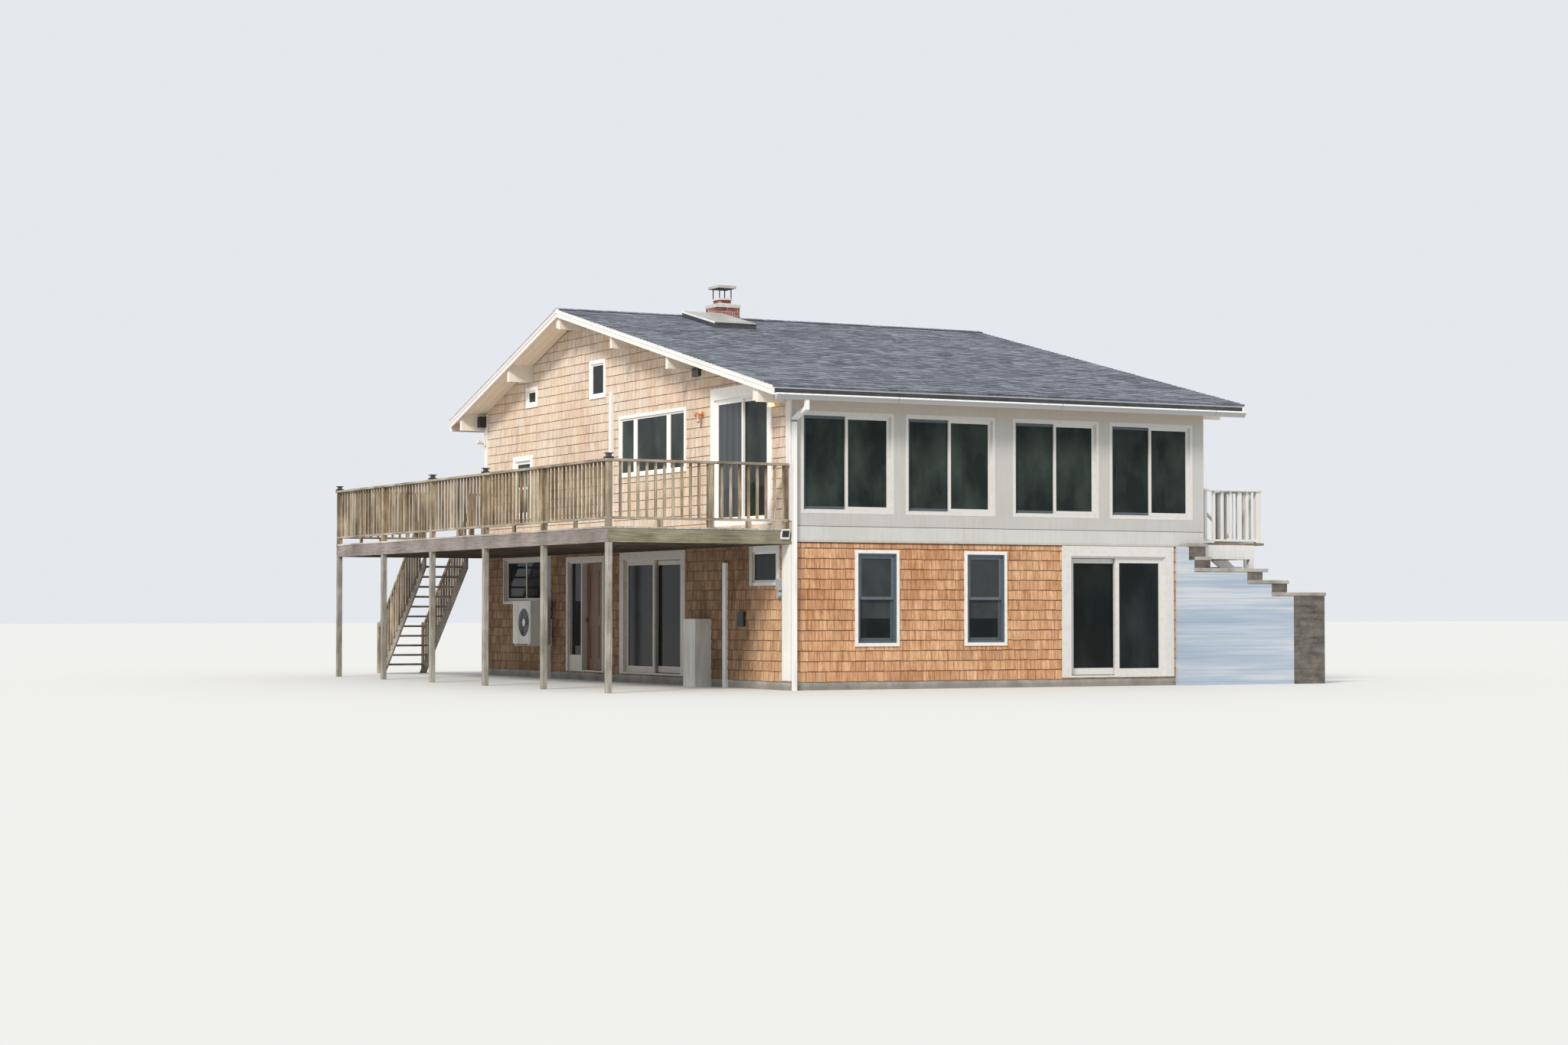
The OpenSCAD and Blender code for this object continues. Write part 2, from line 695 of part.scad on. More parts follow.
module rear_windows() color(white) from_corner() {
    for (o = back_upper_openings) on_back(o[0], o[2]) slider_window(o, 80, 80);
    for (o = back_lower_openings) on_back(o[0], o[2]) hung_window(o, 60, 60);
    for (i = [1, 2]) on_right(right_upper_openings[i][0]) slider_window(right_upper_openings[i], 80, 80);
    on_right(landing_door_opening[0]) window(landing_door_opening, [], [900], 90, 0);
}

// A patio door that stays shut: a frame and two leaves in two planes, the left one in front
module fixed_pair(w, h, z0) translate([0, 0, z0]) {
    difference() {
        cube([w, frame_depth, h]);
        block([jamb_face, -1, sill_face], [w - jamb_face, frame_depth + 1, h - jamb_face]);
    }
    leaf_h = h - sill_face - jamb_face;
    translate([w - jamb_face - leaf_w(w), 10 + leaf_t, sill_face]) leaf(leaf_w(w), leaf_h, upper_stile);
    translate([jamb_face, 10, sill_face]) leaf(leaf_w(w), leaf_h, upper_stile);
}

module fixed_pair_glass(w, h, z0) translate([0, 0, z0]) {
    leaf_h = h - sill_face - jamb_face;
    translate([w - jamb_face - leaf_w(w), 10 + leaf_t, sill_face]) leaf_glass(leaf_w(w), leaf_h, upper_stile);
    translate([jamb_face, 10, sill_face]) leaf_glass(leaf_w(w), leaf_h, upper_stile);
}

module upper_glass() color(pane) from_corner() {
    for (o = front_upper_openings) on_front(o[0]) slider_window_glass(o);
    on_deck_side(triple_opening[0], triple_opening[2])
        window_glass(triple_opening, triple_bars, [], mullion_face);
    on_deck_side(loft_opening[0], loft_opening[2]) window_glass(loft_opening, [], []);
    on_deck_side(vent_opening[0], vent_opening[2]) window_glass(vent_opening, [], []);
    on_deck_side(far_opening[0], far_opening[2]) hung_window_glass(far_opening);
    on_deck_side(deck_door_opening[0], deck_door_opening[2])
        fixed_pair_glass(deck_door_opening[2], deck_door_opening[3], floor_top);
    for (o = back_upper_openings) on_back(o[0], o[2]) slider_window_glass(o);
    for (i = [1, 2]) on_right(right_upper_openings[i][0]) slider_window_glass(right_upper_openings[i]);
    on_right(landing_door_opening[0]) window_glass(landing_door_opening, [], [900]);
}

// Width of one leaf of a sliding pair
function leaf_w(w) = w / 2 - jamb_face + leaf_lap;

// Frame of a sliding pair: jambs, head and sill, with its fixed leaf in the outer track
module slider_frame(w, h, fixed_left, head) translate([0, 0, base_top]) {
    difference() {
        cube([w, wall_t - door_frame_back, h]);
        block([jamb_face, -1, sill_face], [w - jamb_face, wall_t, h - jamb_face]);
    }
    x0 = fixed_left ? jamb_face : w - jamb_face - leaf_w(w);
    translate([x0, track_fixed_y, sill_face]) leaf(leaf_w(w), h - sill_face - jamb_face);
    casing_ring(w, h, wide_casing, 0, head);
    translate([0, -casing_proud, 0]) cube([w, casing_proud + 10, sill_face]);
}

// One glazed leaf without its glass
module leaf(w, h, stile = leaf_stile) difference() {
    cube([w, leaf_t, h]);
    block([stile, -1, leaf_bottom], [w - stile, leaf_t + 1, h - stile]);
}

module leaf_glass(w, h, stile = leaf_stile) block([stile, (leaf_t - glass_t) / 2, leaf_bottom],
    [w - stile, (leaf_t + glass_t) / 2, h - stile]);

function slide_h(h) = h - sill_face - jamb_face - roller_r - leaf_gap;

// Places what belongs to the sliding leaf, in the inner track
module slide_place(w, slide_left) {
    x0 = slide_left ? jamb_face + leaf_gap : w - jamb_face - leaf_gap - leaf_w(w);
    translate([x0, track_slide_y, base_top + sill_face + roller_r]) children();
}

pull_h = 220;

// The sliding leaf with a bow pull inside, a flat pull plate outside and a roller near each end
module slider_leaf(w, h, slide_left) slide_place(w, slide_left) {
    leaf(leaf_w(w), slide_h(h));
    pull_x = slide_left ? leaf_stile / 2 : leaf_w(w) - leaf_stile / 2;
    translate([pull_x - 12, -3, 850]) cube([24, 3, pull_h]);
    translate([pull_x - 8, leaf_t + 30, 850]) cube([16, 12, pull_h]);
    for (z = [850, 850 + pull_h - 16]) translate([pull_x - 8, leaf_t, z]) cube([16, 30, 16]);
    for (x = [120, leaf_w(w) - 120]) translate([x, leaf_t / 2 - 6, roller_gap])
        rotate([-90, 0, 0]) cylinder(r = roller_r, h = 12, $fn = 32);
}

module front_door_frame() color(white) from_corner()
    on_front(front_door_x) slider_frame(front_door_w, door_h, false, 160);
module front_door_slider() color(white) from_corner()
    on_front(front_door_x) slider_leaf(front_door_w, door_h, true);
module front_slider_glass() color(pane) from_corner() on_front(front_door_x)
    slide_place(front_door_w, true) leaf_glass(leaf_w(front_door_w), slide_h(door_h));

entry_leaf_y = entry_y + jamb_face + entry_gap_hinge;
entry_axis_x = wall_t - door_frame_back + hinge_r;
entry_axis_y = entry_leaf_y - entry_gap_hinge / 2;
entry_z0 = base_top + sill_face + leaf_gap;
entry_h = door_h - sill_face - jamb_face - 2 * leaf_gap;
hinge_z = [300, 1000, 1750];
knuckle_h = 40;

// The deck side patio door frame, and the entry frame with its side light and hinge knuckles
module side_door_frame() color(white) from_corner() {
    on_deck_side(side_door_y, side_door_w) slider_frame(side_door_w, door_h, true, 115);
    entry_frame();
}

module entry_frame() {
    head = base_top + door_h;
    light_y = entry_leaf_y + entry_leaf_w + leaf_gap + entry_mullion;
    difference() {
        block([0, entry_y, base_top], [wall_t - door_frame_back, entry_y + entry_w, head]);
        block([-1, entry_y + jamb_face, base_top + sill_face],
            [wall_t, light_y - entry_mullion, head - jamb_face]);
        block([-1, light_y, base_top + 300], [wall_t, light_y + entry_light_w, head - jamb_face]);
    }
    on_deck_side(entry_y, entry_w) translate([0, 0, base_top]) casing_ring(entry_w, door_h, 80, 0);
    for (z = hinge_z, side = [-1, 1]) {
        z0 = z + (side > 0 ? knuckle_h / 2 + hinge_gap : -knuckle_h);
        translate([entry_axis_x, entry_axis_y, z0])
            cylinder(r = hinge_r, h = knuckle_h / 2 - hinge_gap, $fn = 32);
        block([wall_t - door_frame_back, entry_y + 10, z0],
            [wall_t - door_frame_back + hinge_plate, entry_axis_y, z0 + knuckle_h / 2 - hinge_gap]);
    }
}

module side_door_slider() color(white) from_corner()
    on_deck_side(side_door_y, side_door_w) slider_leaf(side_door_w, door_h, false);
module side_slider_glass() color(pane) from_corner() on_deck_side(side_door_y, side_door_w)
    slide_place(side_door_w, false) leaf_glass(leaf_w(side_door_w), slide_h(door_h));

panel_sink = 8;

// Four-panel door leaf with its hinge knuckles and a round knob on each face
module entry_door_leaf() color([0.4, 0.25, 0.16]) from_corner() {
    x1 = wall_t - door_frame_back;
    x0 = x1 - entry_t;
    difference() {
        block([x0, entry_leaf_y, entry_z0], [x1, entry_leaf_y + entry_leaf_w, entry_z0 + entry_h]);
        for (i = [0, 1], z = [[200, 800], [980, entry_h - 140]]) {
            y = entry_leaf_y + 120 + i * (entry_leaf_w - 120) / 2;
            w = (entry_leaf_w - 360) / 2;
            block([x0 - 1, y, entry_z0 + z[0]], [x0 + panel_sink, y + w, entry_z0 + z[1]]);
            block([x1 - panel_sink, y, entry_z0 + z[0]], [x1 + 1, y + w, entry_z0 + z[1]]);
        }
    }
    for (z = hinge_z) {
        translate([entry_axis_x, entry_axis_y, z - knuckle_h / 2])
            cylinder(r = hinge_r, h = knuckle_h, $fn = 32);
        block([x1, entry_axis_y, z - knuckle_h / 2],
            [x1 + hinge_plate, entry_leaf_y + 35, z + knuckle_h / 2]);
    }
    translate([x0 - 55, entry_leaf_y + entry_leaf_w - 65, entry_z0 + 890]) rotate([0, 90, 0]) {
        cylinder(r = 10, h = entry_t + 110, $fn = 32);
        cylinder(r = 27, h = 28, $fn = 32);
        translate([0, 0, entry_t + 82]) cylinder(r = 27, h = 28, $fn = 32);
    }
}

module lower_glass() color(pane) from_corner() {
    for (o = front_lower_openings) on_front(o[0]) hung_window_glass(o);
    for (o = back_lower_openings) on_back(o[0], o[2]) hung_window_glass(o);
    small = deck_side_lower_openings[0];
    wide = deck_side_lower_openings[1];
    on_deck_side(small[0], small[2]) window_glass(small, [], []);
    on_deck_side(wide[0], wide[2]) slider_window_glass(wide);
    on_front(front_door_x)
        translate([front_door_w - jamb_face - leaf_w(front_door_w), track_fixed_y, base_top + sill_face])
            leaf_glass(leaf_w(front_door_w), door_h - sill_face - jamb_face);
    on_deck_side(side_door_y, side_door_w) translate([jamb_face, track_fixed_y, base_top + sill_face])
        leaf_glass(leaf_w(side_door_w), door_h - sill_face - jamb_face);
    light_y = entry_leaf_y + entry_leaf_w + leaf_gap + entry_mullion;
    block([50, light_y, base_top + 300],
        [50 + glass_t, light_y + entry_light_w, base_top + door_h - jamb_face]);
}

deck_under = deck_top - board_t;
joist_under = deck_ledge;
bay = (deck_len - post_w) / deck_bays;
joist_count = 32;

module deck_boards() color(weathered) from_corner()
    block([-deck_out - 10, -10, deck_under], [0, deck_len + 10, deck_top]);

// Ledger, rims and joists under the boards
module deck_frame() color(weathered) from_corner() {
    block([-deck_out, 0, joist_under], [-deck_out + joist_t, deck_len, deck_under]);
    block([-joist_t, 0, joist_under], [0, deck_len, deck_under]);
    for (i = [0:joist_count])
        translate([-deck_out, i * (deck_len - joist_t) / joist_count, joist_under])
            cube([deck_out, joist_t, joist_h]);
}

module deck_posts() color(weathered) from_corner()
    for (i = [0:deck_bays]) translate([-deck_out, i * bay, 0]) cube([post_w, post_w, joist_under]);

rail_cap_h = 38;
rail_cap_w = 130;
cap_side = (rail_cap_w - post_w) / 2;
rail_low = 110;
rail_foot_h = 38;

// A railing run along X of a given length, from post face to post face, standing on z = 0,
// whose balusters stand on a low rail under a flat cap that runs on over the posts at its ends
module rail_run(len, foot, over0, over1,
        high = rail_h, low = rail_low, step_aim = baluster_step, bar = baluster_w) {
    count = round(len / step_aim);
    step = len / count;
    y = (post_w - baluster_w) / 2;
    translate([0, y, low]) cube([len, baluster_w, rail_foot_h]);
    translate([-over0, (post_w - rail_cap_w) / 2, high - rail_cap_h])
        cube([over0 + len + over1, rail_cap_w, rail_cap_h]);
    for (i = [1:count - 1])
        translate([i * step - bar / 2, y, low]) cube([bar, baluster_w, high - low - rail_cap_h]);
    if (foot) translate([len / 2 - 45, y, 0]) cube([90, baluster_w, low]);
}

module rail_post(high = rail_h, w = post_w) cube([w, post_w, high - rail_cap_h]);

module deck_railing_side() color(weathered) from_corner()
    translate([-deck_out + post_w, 0, deck_top]) rotate([0, 0, 90]) {
        for (i = [0:deck_bays]) translate([i * bay, 0, 0]) rail_post();
        for (i = [0:deck_bays - 1])
            translate([i * bay + post_w, 0, 0]) rail_run(bay - post_w, true,
                i == 0 ? post_w + cap_side : post_w / 2, i == deck_bays - 1 ? post_w + cap_side : post_w / 2);
    }

front_mid_x = -1420;
wall_post_w = 50;
wall_post_x = -60 - wall_post_w;
stair_x1 = -stair_in;
stair_x0 = stair_x1 - stair_w;

// Railings across the two ends of the deck, with the gap of the stair at the back
module deck_railing_ends() color(weathered) from_corner() {
    edge = -deck_out + post_w;
    translate([edge, 0, deck_top]) rail_run(front_mid_x - edge, true, -cap_side, 0);
    translate([front_mid_x, 0, deck_top]) rail_post();
    translate([front_mid_x + post_w, 0, deck_top])
        rail_run(wall_post_x - front_mid_x - post_w, true, post_w, wall_post_w + 15);
    translate([wall_post_x, 0, deck_top]) rail_post(rail_h, wall_post_w);
    back = deck_len - post_w;
    translate([edge, back, deck_top]) rail_run(stair_x0 - post_w - edge, true, -cap_side, post_w + cap_side);
    translate([stair_x0 - post_w, back, deck_top]) rail_post();
    translate([stair_x1, back, deck_top]) rail_post();
    translate([stair_x1 + post_w, back, deck_top]) rail_run(stair_in - post_w, false, post_w + cap_side, 0);
}

stair_rise = deck_top / stair_risers;
stair_pitch = stair_rise / stair_going;
stringer_t = 38;
stringer_h = 280;
tread_t = 38;
stair_run = (stair_risers - 1) * stair_going;
stair_y0 = deck_len;

// Outline of a stringer in Y-Z, from the deck rim down to its foot
module stringer_outline() {
    top = deck_top - stair_rise + 30;
    foot_y = stair_y0 + top / stair_pitch;
    polygon([[stair_y0, top], [foot_y, 0], [foot_y - stringer_h / stair_pitch, 0],
        [stair_y0, top - stringer_h]]);
}

module deck_stair_stringers() color(weathered) from_corner() {
    along_x(stair_x0, stair_x0 + stringer_t) stringer_outline();
    along_x(stair_x1 - stringer_t, stair_x1) stringer_outline();
}

module deck_stair_treads() color(weathered) from_corner()
    for (i = [1:stair_risers - 1])
        translate([stair_x0 + stringer_t, stair_y0 + (i - 1) * stair_going,
            deck_top - i * stair_rise - tread_t]) cube([stair_w - 2 * stringer_t, stair_going + 25, tread_t]);

stair_rail_h = 900;

// One sloping railing beside a stringer, with balusters down to it
module stair_rail() {
    top = deck_top - stair_rise + 30;
    len = stair_run - 60;
    z_at = function (y) top - y * stair_pitch;
    along_y_slope = function (y, dz) [stair_y0 + y, z_at(y) + dz];
    along_x(0, stringer_t) polygon([along_y_slope(60, stair_rail_h - 90),
        along_y_slope(len, stair_rail_h - 90),
        along_y_slope(len, stair_rail_h), along_y_slope(60, stair_rail_h)]);
    count = round(len / baluster_step);
    for (i = [1:count - 1]) {
        y = 60 + i * (len - 60) / count;
        along_x(0, stringer_t) polygon([along_y_slope(y, -120), along_y_slope(y + baluster_w, -120),
            along_y_slope(y + baluster_w, stair_rail_h - 60), along_y_slope(y, stair_rail_h - 60)]);
    }
    translate([0, stair_y0 + len, 0]) cube([stringer_t, 90, z_at(len) + stair_rail_h + 40]);
}

module deck_stair_railings() color(weathered) from_corner() {
    translate([stair_x0 - stringer_t, 0, 0]) stair_rail();
    translate([stair_x1, 0, 0]) stair_rail();
}

landing_x1 = house_w + landing_out;
landing_y0 = 30;
landing_y1 = landing_y0 + landing_d;
landing_skirt = 240;
landing_board = 40;

landing_skirt_in = 150;

// Landing floor that stands out over a skirt
module landing_platform() color(white) from_corner() {
    z1 = landing_top - landing_board;
    x1 = landing_x1 - landing_skirt_in;
    y0 = landing_y0 + corner_w;
    block([house_w, y0, z1], [landing_x1 + 60, landing_y1, landing_top]);
    difference() {
        block([house_w, y0, z1 - landing_skirt], [x1, landing_y1, z1]);
        block([house_w + 40, y0 + 40, z1 - landing_skirt - 1], [x1 - 40, landing_y1 - 40, z1 - 1]);
    }
}

module landing_posts() color(white) from_corner()
    for (y = [landing_y0 + corner_w, landing_y1 - post_w])
        translate([landing_x1 - landing_skirt_in - post_w, y, 0])
            cube([post_w, post_w, landing_top - landing_board - landing_skirt]);

landing_stair_w = 900;
landing_rail_h = 915;
landing_step = 185;
landing_bar = 55;
landing_rail_low = 20;

// A run of the landing's railing, with wider balusters than the deck's
module landing_run(len, over1)
    rail_run(len, false, 0, over1, landing_rail_h, landing_rail_low, landing_step, landing_bar);

module landing_railings() color(white) from_corner() translate([0, 0, landing_top]) {
    y0 = landing_y0 + corner_w;
    side = landing_x1 - post_w - house_w;
    run = landing_d - corner_w - landing_stair_w - 2 * post_w;
    for (y = [y0, y0 + post_w + run, landing_y1 - post_w])
        translate([landing_x1 - post_w, y, 0]) rail_post(landing_rail_h);
    for (y = [y0, landing_y1 - post_w]) translate([house_w, y, 0]) landing_run(side, post_w + cap_side);
    translate([landing_x1, y0 + post_w, 0]) rotate([0, 0, 90]) landing_run(run, post_w + cap_side);
}

landing_risers = 5;
landing_rise = 190;
landing_going = 230;

// White stair hung from the landing's skirt, whose foot stands on two posts, with
// a handrail along its far side only
module landing_stair() color(white) from_corner() {
    y0 = landing_y1 - landing_stair_w;
    y1 = landing_y1 - post_w;
    x0 = landing_x1 + 60;
    skirt_x = landing_x1 - landing_skirt_in;
    board_z = landing_top - landing_board;
    for (i = [1:landing_risers])
        translate([x0 + (i - 1) * landing_going, y0 + 38, landing_top - i * landing_rise - 38])
            cube([landing_going + 20, y1 - y0 - 76, 38]);
    run = landing_risers * landing_going + 20;
    fall = run * landing_rise / landing_going;
    for (y = [y0, y1 - 38]) along_y(y, y + 38) polygon([[skirt_x, board_z], [x0, board_z],
        [x0, landing_top - 150], [x0 + run, landing_top - 150 - fall],
        [x0 + run, landing_top - 420 - fall], [x0, landing_top - 420],
        [skirt_x, board_z - landing_skirt]]);
    foot_x = x0 + run - 90;
    translate([foot_x, y0, 0]) cube([90, 38, landing_top - 200 - fall]);
    translate([foot_x, y1 - 38, 0]) cube([90, 38, landing_top + 800 - fall]);
    along_y(y1 - 38, y1) polygon([[landing_x1 - post_w, landing_top + 820], [x0, landing_top + 820],
        [x0 + run, landing_top + 820 - fall], [x0 + run, landing_top + 760 - fall],
        [x0, landing_top + 760], [landing_x1 - post_w, landing_top + 760]]);
}

// Steps of the masonry wall as [left end, right end, top, left end of its cap strip, cap overhang]
wall_steps = [
    [7274, 7748, 2315, 7364, 40],
    [7748, 7850, 2090, 7524, 20],
    [7850, 8934, 1900, 7524, 112],
    [8934, 9450, 1705, 8614, 40],
    [9450, 10250, 1500, 9126, 30],
];
wall_face = -200;
cap_slab = 60;
cap_proud = 15;

// Masonry wall with a stepped top, in front of the landing, down to the level of the base
module stepped_wall() color([0.7, 0.78, 0.86]) from_corner()
    for (s = wall_steps) block([s[0], wall_face, 0], [s[1], 0, s[2]]);

// Cap slabs, each running on as a strip across the face of the higher step
module stepped_wall_caps() color(concrete) from_corner() for (s = wall_steps) {
    back = s[2] > 2100 ? -band_t - 10 : 0;
    block([max(s[0], s[3]), wall_face - cap_proud, s[2]], [s[1] + s[4], back, s[2] + cap_slab]);
    if (s[3] < s[0]) block([s[3], wall_face - cap_proud, s[2]], [s[0], wall_face, s[2] + cap_slab]);
}

// A round body pointing along X out of the deck side wall, from a place on the wall
module round_out(place, radius, top_radius, len)
    translate([0, place[0], place[1]]) rotate([0, -90, 0])
        cylinder(r1 = radius, r2 = top_radius, h = len, $fn = 32);

// Two-shade lantern, two floodlights, vent hood, loudspeaker, solar lamp, cable box and meter
module wall_fixtures() color([0.2, 0.18, 0.16]) from_corner() {
    round_out([3120, 4490], 50, 50, 22);
    round_out([3120, 4490], 14, 14, 95);
    translate([-95, 3120, 4420]) cylinder(r1 = 44, r2 = 16, h = 90, $fn = 32);
    translate([-95, 3120, 4357]) cylinder(r1 = 20, r2 = 32, h = 64, $fn = 32);
    translate([-95, 3188, 4490]) rotate([90, 0, 0]) cylinder(r1 = 42, r2 = 14, h = 70, $fn = 32);
    along_y(3195, 3445) polygon([[0, 5140], [-60, 5140], [-60, 5270], [0, 5316]]);
    block([-24, 440, 4560], [0, 560, 4640]);
    block([-90, 485, 4575], [-24, 515, 4605]);
    translate([-90, 500, 4450]) cylinder(r1 = 62, r2 = 26, h = 150, $fn = 32);
    block([-165, 12800, 4850], [-25, house_back_beam, 5060]);
    block([-65, 12795, 4485], [-band_t, 12885, 4640]);
    translate([-60, 12840, 4540]) rotate([0, -80, 0]) cylinder(r1 = 24, r2 = 50, h = 150, $fn = 32);
    along_x(-190, -40) polygon([[0, 2350], [-24, 2350], [-62, 2500], [-50, 2506], [0, 2440]]);
    block([-60, 1540, 990], [0, 1760, 1230]);
    block([-90, 265, 1560], [0, 350, 1745]);
    round_out([308, 1490], 50, 46, 80);
}

house_back_beam = beam_back_y[1] - beam_w / 2;

// White covers over refrigerant and vent lines
module line_covers() color(white) from_corner() {
    block([-50, 6730, deck_top], [0, 6860, 5120]);
    block([-50, 2190, 0], [0, 2305, 2020]);
    block([-90, 9560, 0], [0, 9650, joist_under]);
}

unit_y = 9430;
fan_r = 260;

// Heat pump with a fan ring on two wall brackets, and a low cabinet with a sunk door
module outdoor_units() color(white) from_corner() {
    difference() {
        block([-470, unit_y, 640], [-120, unit_y + 860, 1430]);
        translate([-471, unit_y + 330, 1035]) rotate([0, 90, 0]) cylinder(r = fan_r, h = 41, $fn = 48);
    }
    translate([-470, unit_y + 330, 1035]) rotate([0, 90, 0]) cylinder(r = 70, h = 60, $fn = 32);
    for (y = [unit_y + 80, unit_y + 720]) {
        block([-470, y, 600], [0, y + 40, 640]);
        block([-40, y, 640], [0, y + 40, 1100]);
    }
    difference() {
        block([-300, 2800, 0], [0, 3250, 1110]);
        for (x = [-281, -25]) block([x, 2799, 60], [x + 5, 2803, 1060]);
        for (z = [60, 1055]) block([-281, 2799, z], [-20, 2803, z + 5]);
        block([-190, 2799, 960], [-110, 2812, 980]);
    }
}

module post_caps() color([0.12, 0.12, 0.12]) from_corner()
    for (i = [0, 2, 3, 5]) translate([-deck_out + post_w / 2, i * bay + post_w / 2, deck_top + rail_h]) {
        translate([-60, -60, 0]) cube([120, 120, 30]);
        translate([-35, -35, 30]) cube([70, 70, 45]);
        translate([-60, -60, 75]) cube([120, 120, 12]);
    }

foundation();
front_wall_lower();
deck_side_wall_lower();
door_headers();
back_wall_lower();
right_wall_lower();
upper_floor();
front_wall_upper();
deck_side_wall_upper();
back_wall_upper();
right_wall_upper();
front_bands();
corner_trim();
roof_beams();
roof_planks();
roof_covering();
ridge_cap();
barge_boards();
eave_fascias();
gutters();
downspouts();
skylight_frame();
skylight_glass();
chimney_stack();
chimney_top();
front_upper_windows();
front_lower_windows();
deck_side_upper_windows();
deck_side_lower_windows();
rear_windows();
upper_glass();
lower_glass();
front_door_frame();
front_door_slider();
front_slider_glass();
side_door_frame();
side_door_slider();
side_slider_glass();
entry_door_leaf();
deck_boards();
deck_frame();
deck_posts();
deck_railing_side();
deck_railing_ends();
deck_stair_stringers();
deck_stair_treads();
deck_stair_railings();
landing_platform();
landing_posts();
landing_railings();
landing_stair();
stepped_wall();
stepped_wall_caps();
wall_fixtures();
line_covers();
outdoor_units();
post_caps();
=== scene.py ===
import math
import random

import bmesh
import bpy
from mathutils import Matrix, Vector


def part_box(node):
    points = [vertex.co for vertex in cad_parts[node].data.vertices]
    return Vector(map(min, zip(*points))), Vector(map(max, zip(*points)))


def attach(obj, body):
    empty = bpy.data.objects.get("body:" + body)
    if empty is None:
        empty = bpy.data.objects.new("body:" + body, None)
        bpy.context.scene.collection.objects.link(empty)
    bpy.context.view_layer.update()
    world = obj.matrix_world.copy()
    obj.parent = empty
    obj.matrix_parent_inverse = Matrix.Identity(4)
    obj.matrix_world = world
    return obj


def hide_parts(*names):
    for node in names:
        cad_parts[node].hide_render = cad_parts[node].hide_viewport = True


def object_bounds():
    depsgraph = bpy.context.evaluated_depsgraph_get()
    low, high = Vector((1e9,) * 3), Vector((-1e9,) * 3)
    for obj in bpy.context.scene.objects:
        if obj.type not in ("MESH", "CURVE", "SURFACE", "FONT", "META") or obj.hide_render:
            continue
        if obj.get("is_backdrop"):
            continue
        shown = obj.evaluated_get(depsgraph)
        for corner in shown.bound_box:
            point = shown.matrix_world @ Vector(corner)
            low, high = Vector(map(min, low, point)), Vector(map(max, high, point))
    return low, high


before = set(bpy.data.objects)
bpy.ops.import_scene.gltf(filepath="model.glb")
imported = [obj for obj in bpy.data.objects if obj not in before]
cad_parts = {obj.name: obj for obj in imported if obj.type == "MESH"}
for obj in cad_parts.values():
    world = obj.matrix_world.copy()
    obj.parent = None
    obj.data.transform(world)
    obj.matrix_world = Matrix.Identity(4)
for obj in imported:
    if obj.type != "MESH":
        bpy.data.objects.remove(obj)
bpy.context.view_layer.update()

# Viewpoint, floor and light. The house is seen from low down in front, 28 degrees to the left of
# square on. It stands on a plain pale floor under an even sky, with one broad soft sun that comes
# from the left front.
eye_data = bpy.data.cameras.new("low_eye")
eye_data.sensor_width = 36
eye_data.lens = 64.23
eye_data.clip_end = 600
eye = bpy.data.objects.new("low_eye", eye_data)
eye.location = (-24.17, -44.94, 1.19)
turn_right = math.radians(27.6)
look_up = math.radians(1.874)
gaze = Vector((math.sin(turn_right), math.cos(turn_right), math.tan(look_up)))
eye.rotation_euler = gaze.to_track_quat("-Z", "Y").to_euler()
bpy.context.scene.collection.objects.link(eye)
bpy.context.scene.camera = eye

sky = bpy.data.worlds.new("even_sky")
sky.use_nodes = True
sky_light = sky.node_tree.nodes["Background"].inputs
sky_light["Color"].default_value = (0.92, 0.95, 1, 1)
sky_light["Strength"].default_value = 0.85
bpy.context.scene.world = sky
bpy.context.scene.view_settings.view_transform = "Standard"

sun_data = bpy.data.lights.new("soft_sun", "SUN")
sun_data.energy = 3.1
sun_data.angle = math.radians(14)
sun_data.color = (1, 0.95, 0.88)
sun = bpy.data.objects.new("soft_sun", sun_data)
sun.rotation_euler = Vector((0.85, 0.62, -0.78)).to_track_quat("-Z", "Y").to_euler()
bpy.context.scene.collection.objects.link(sun)

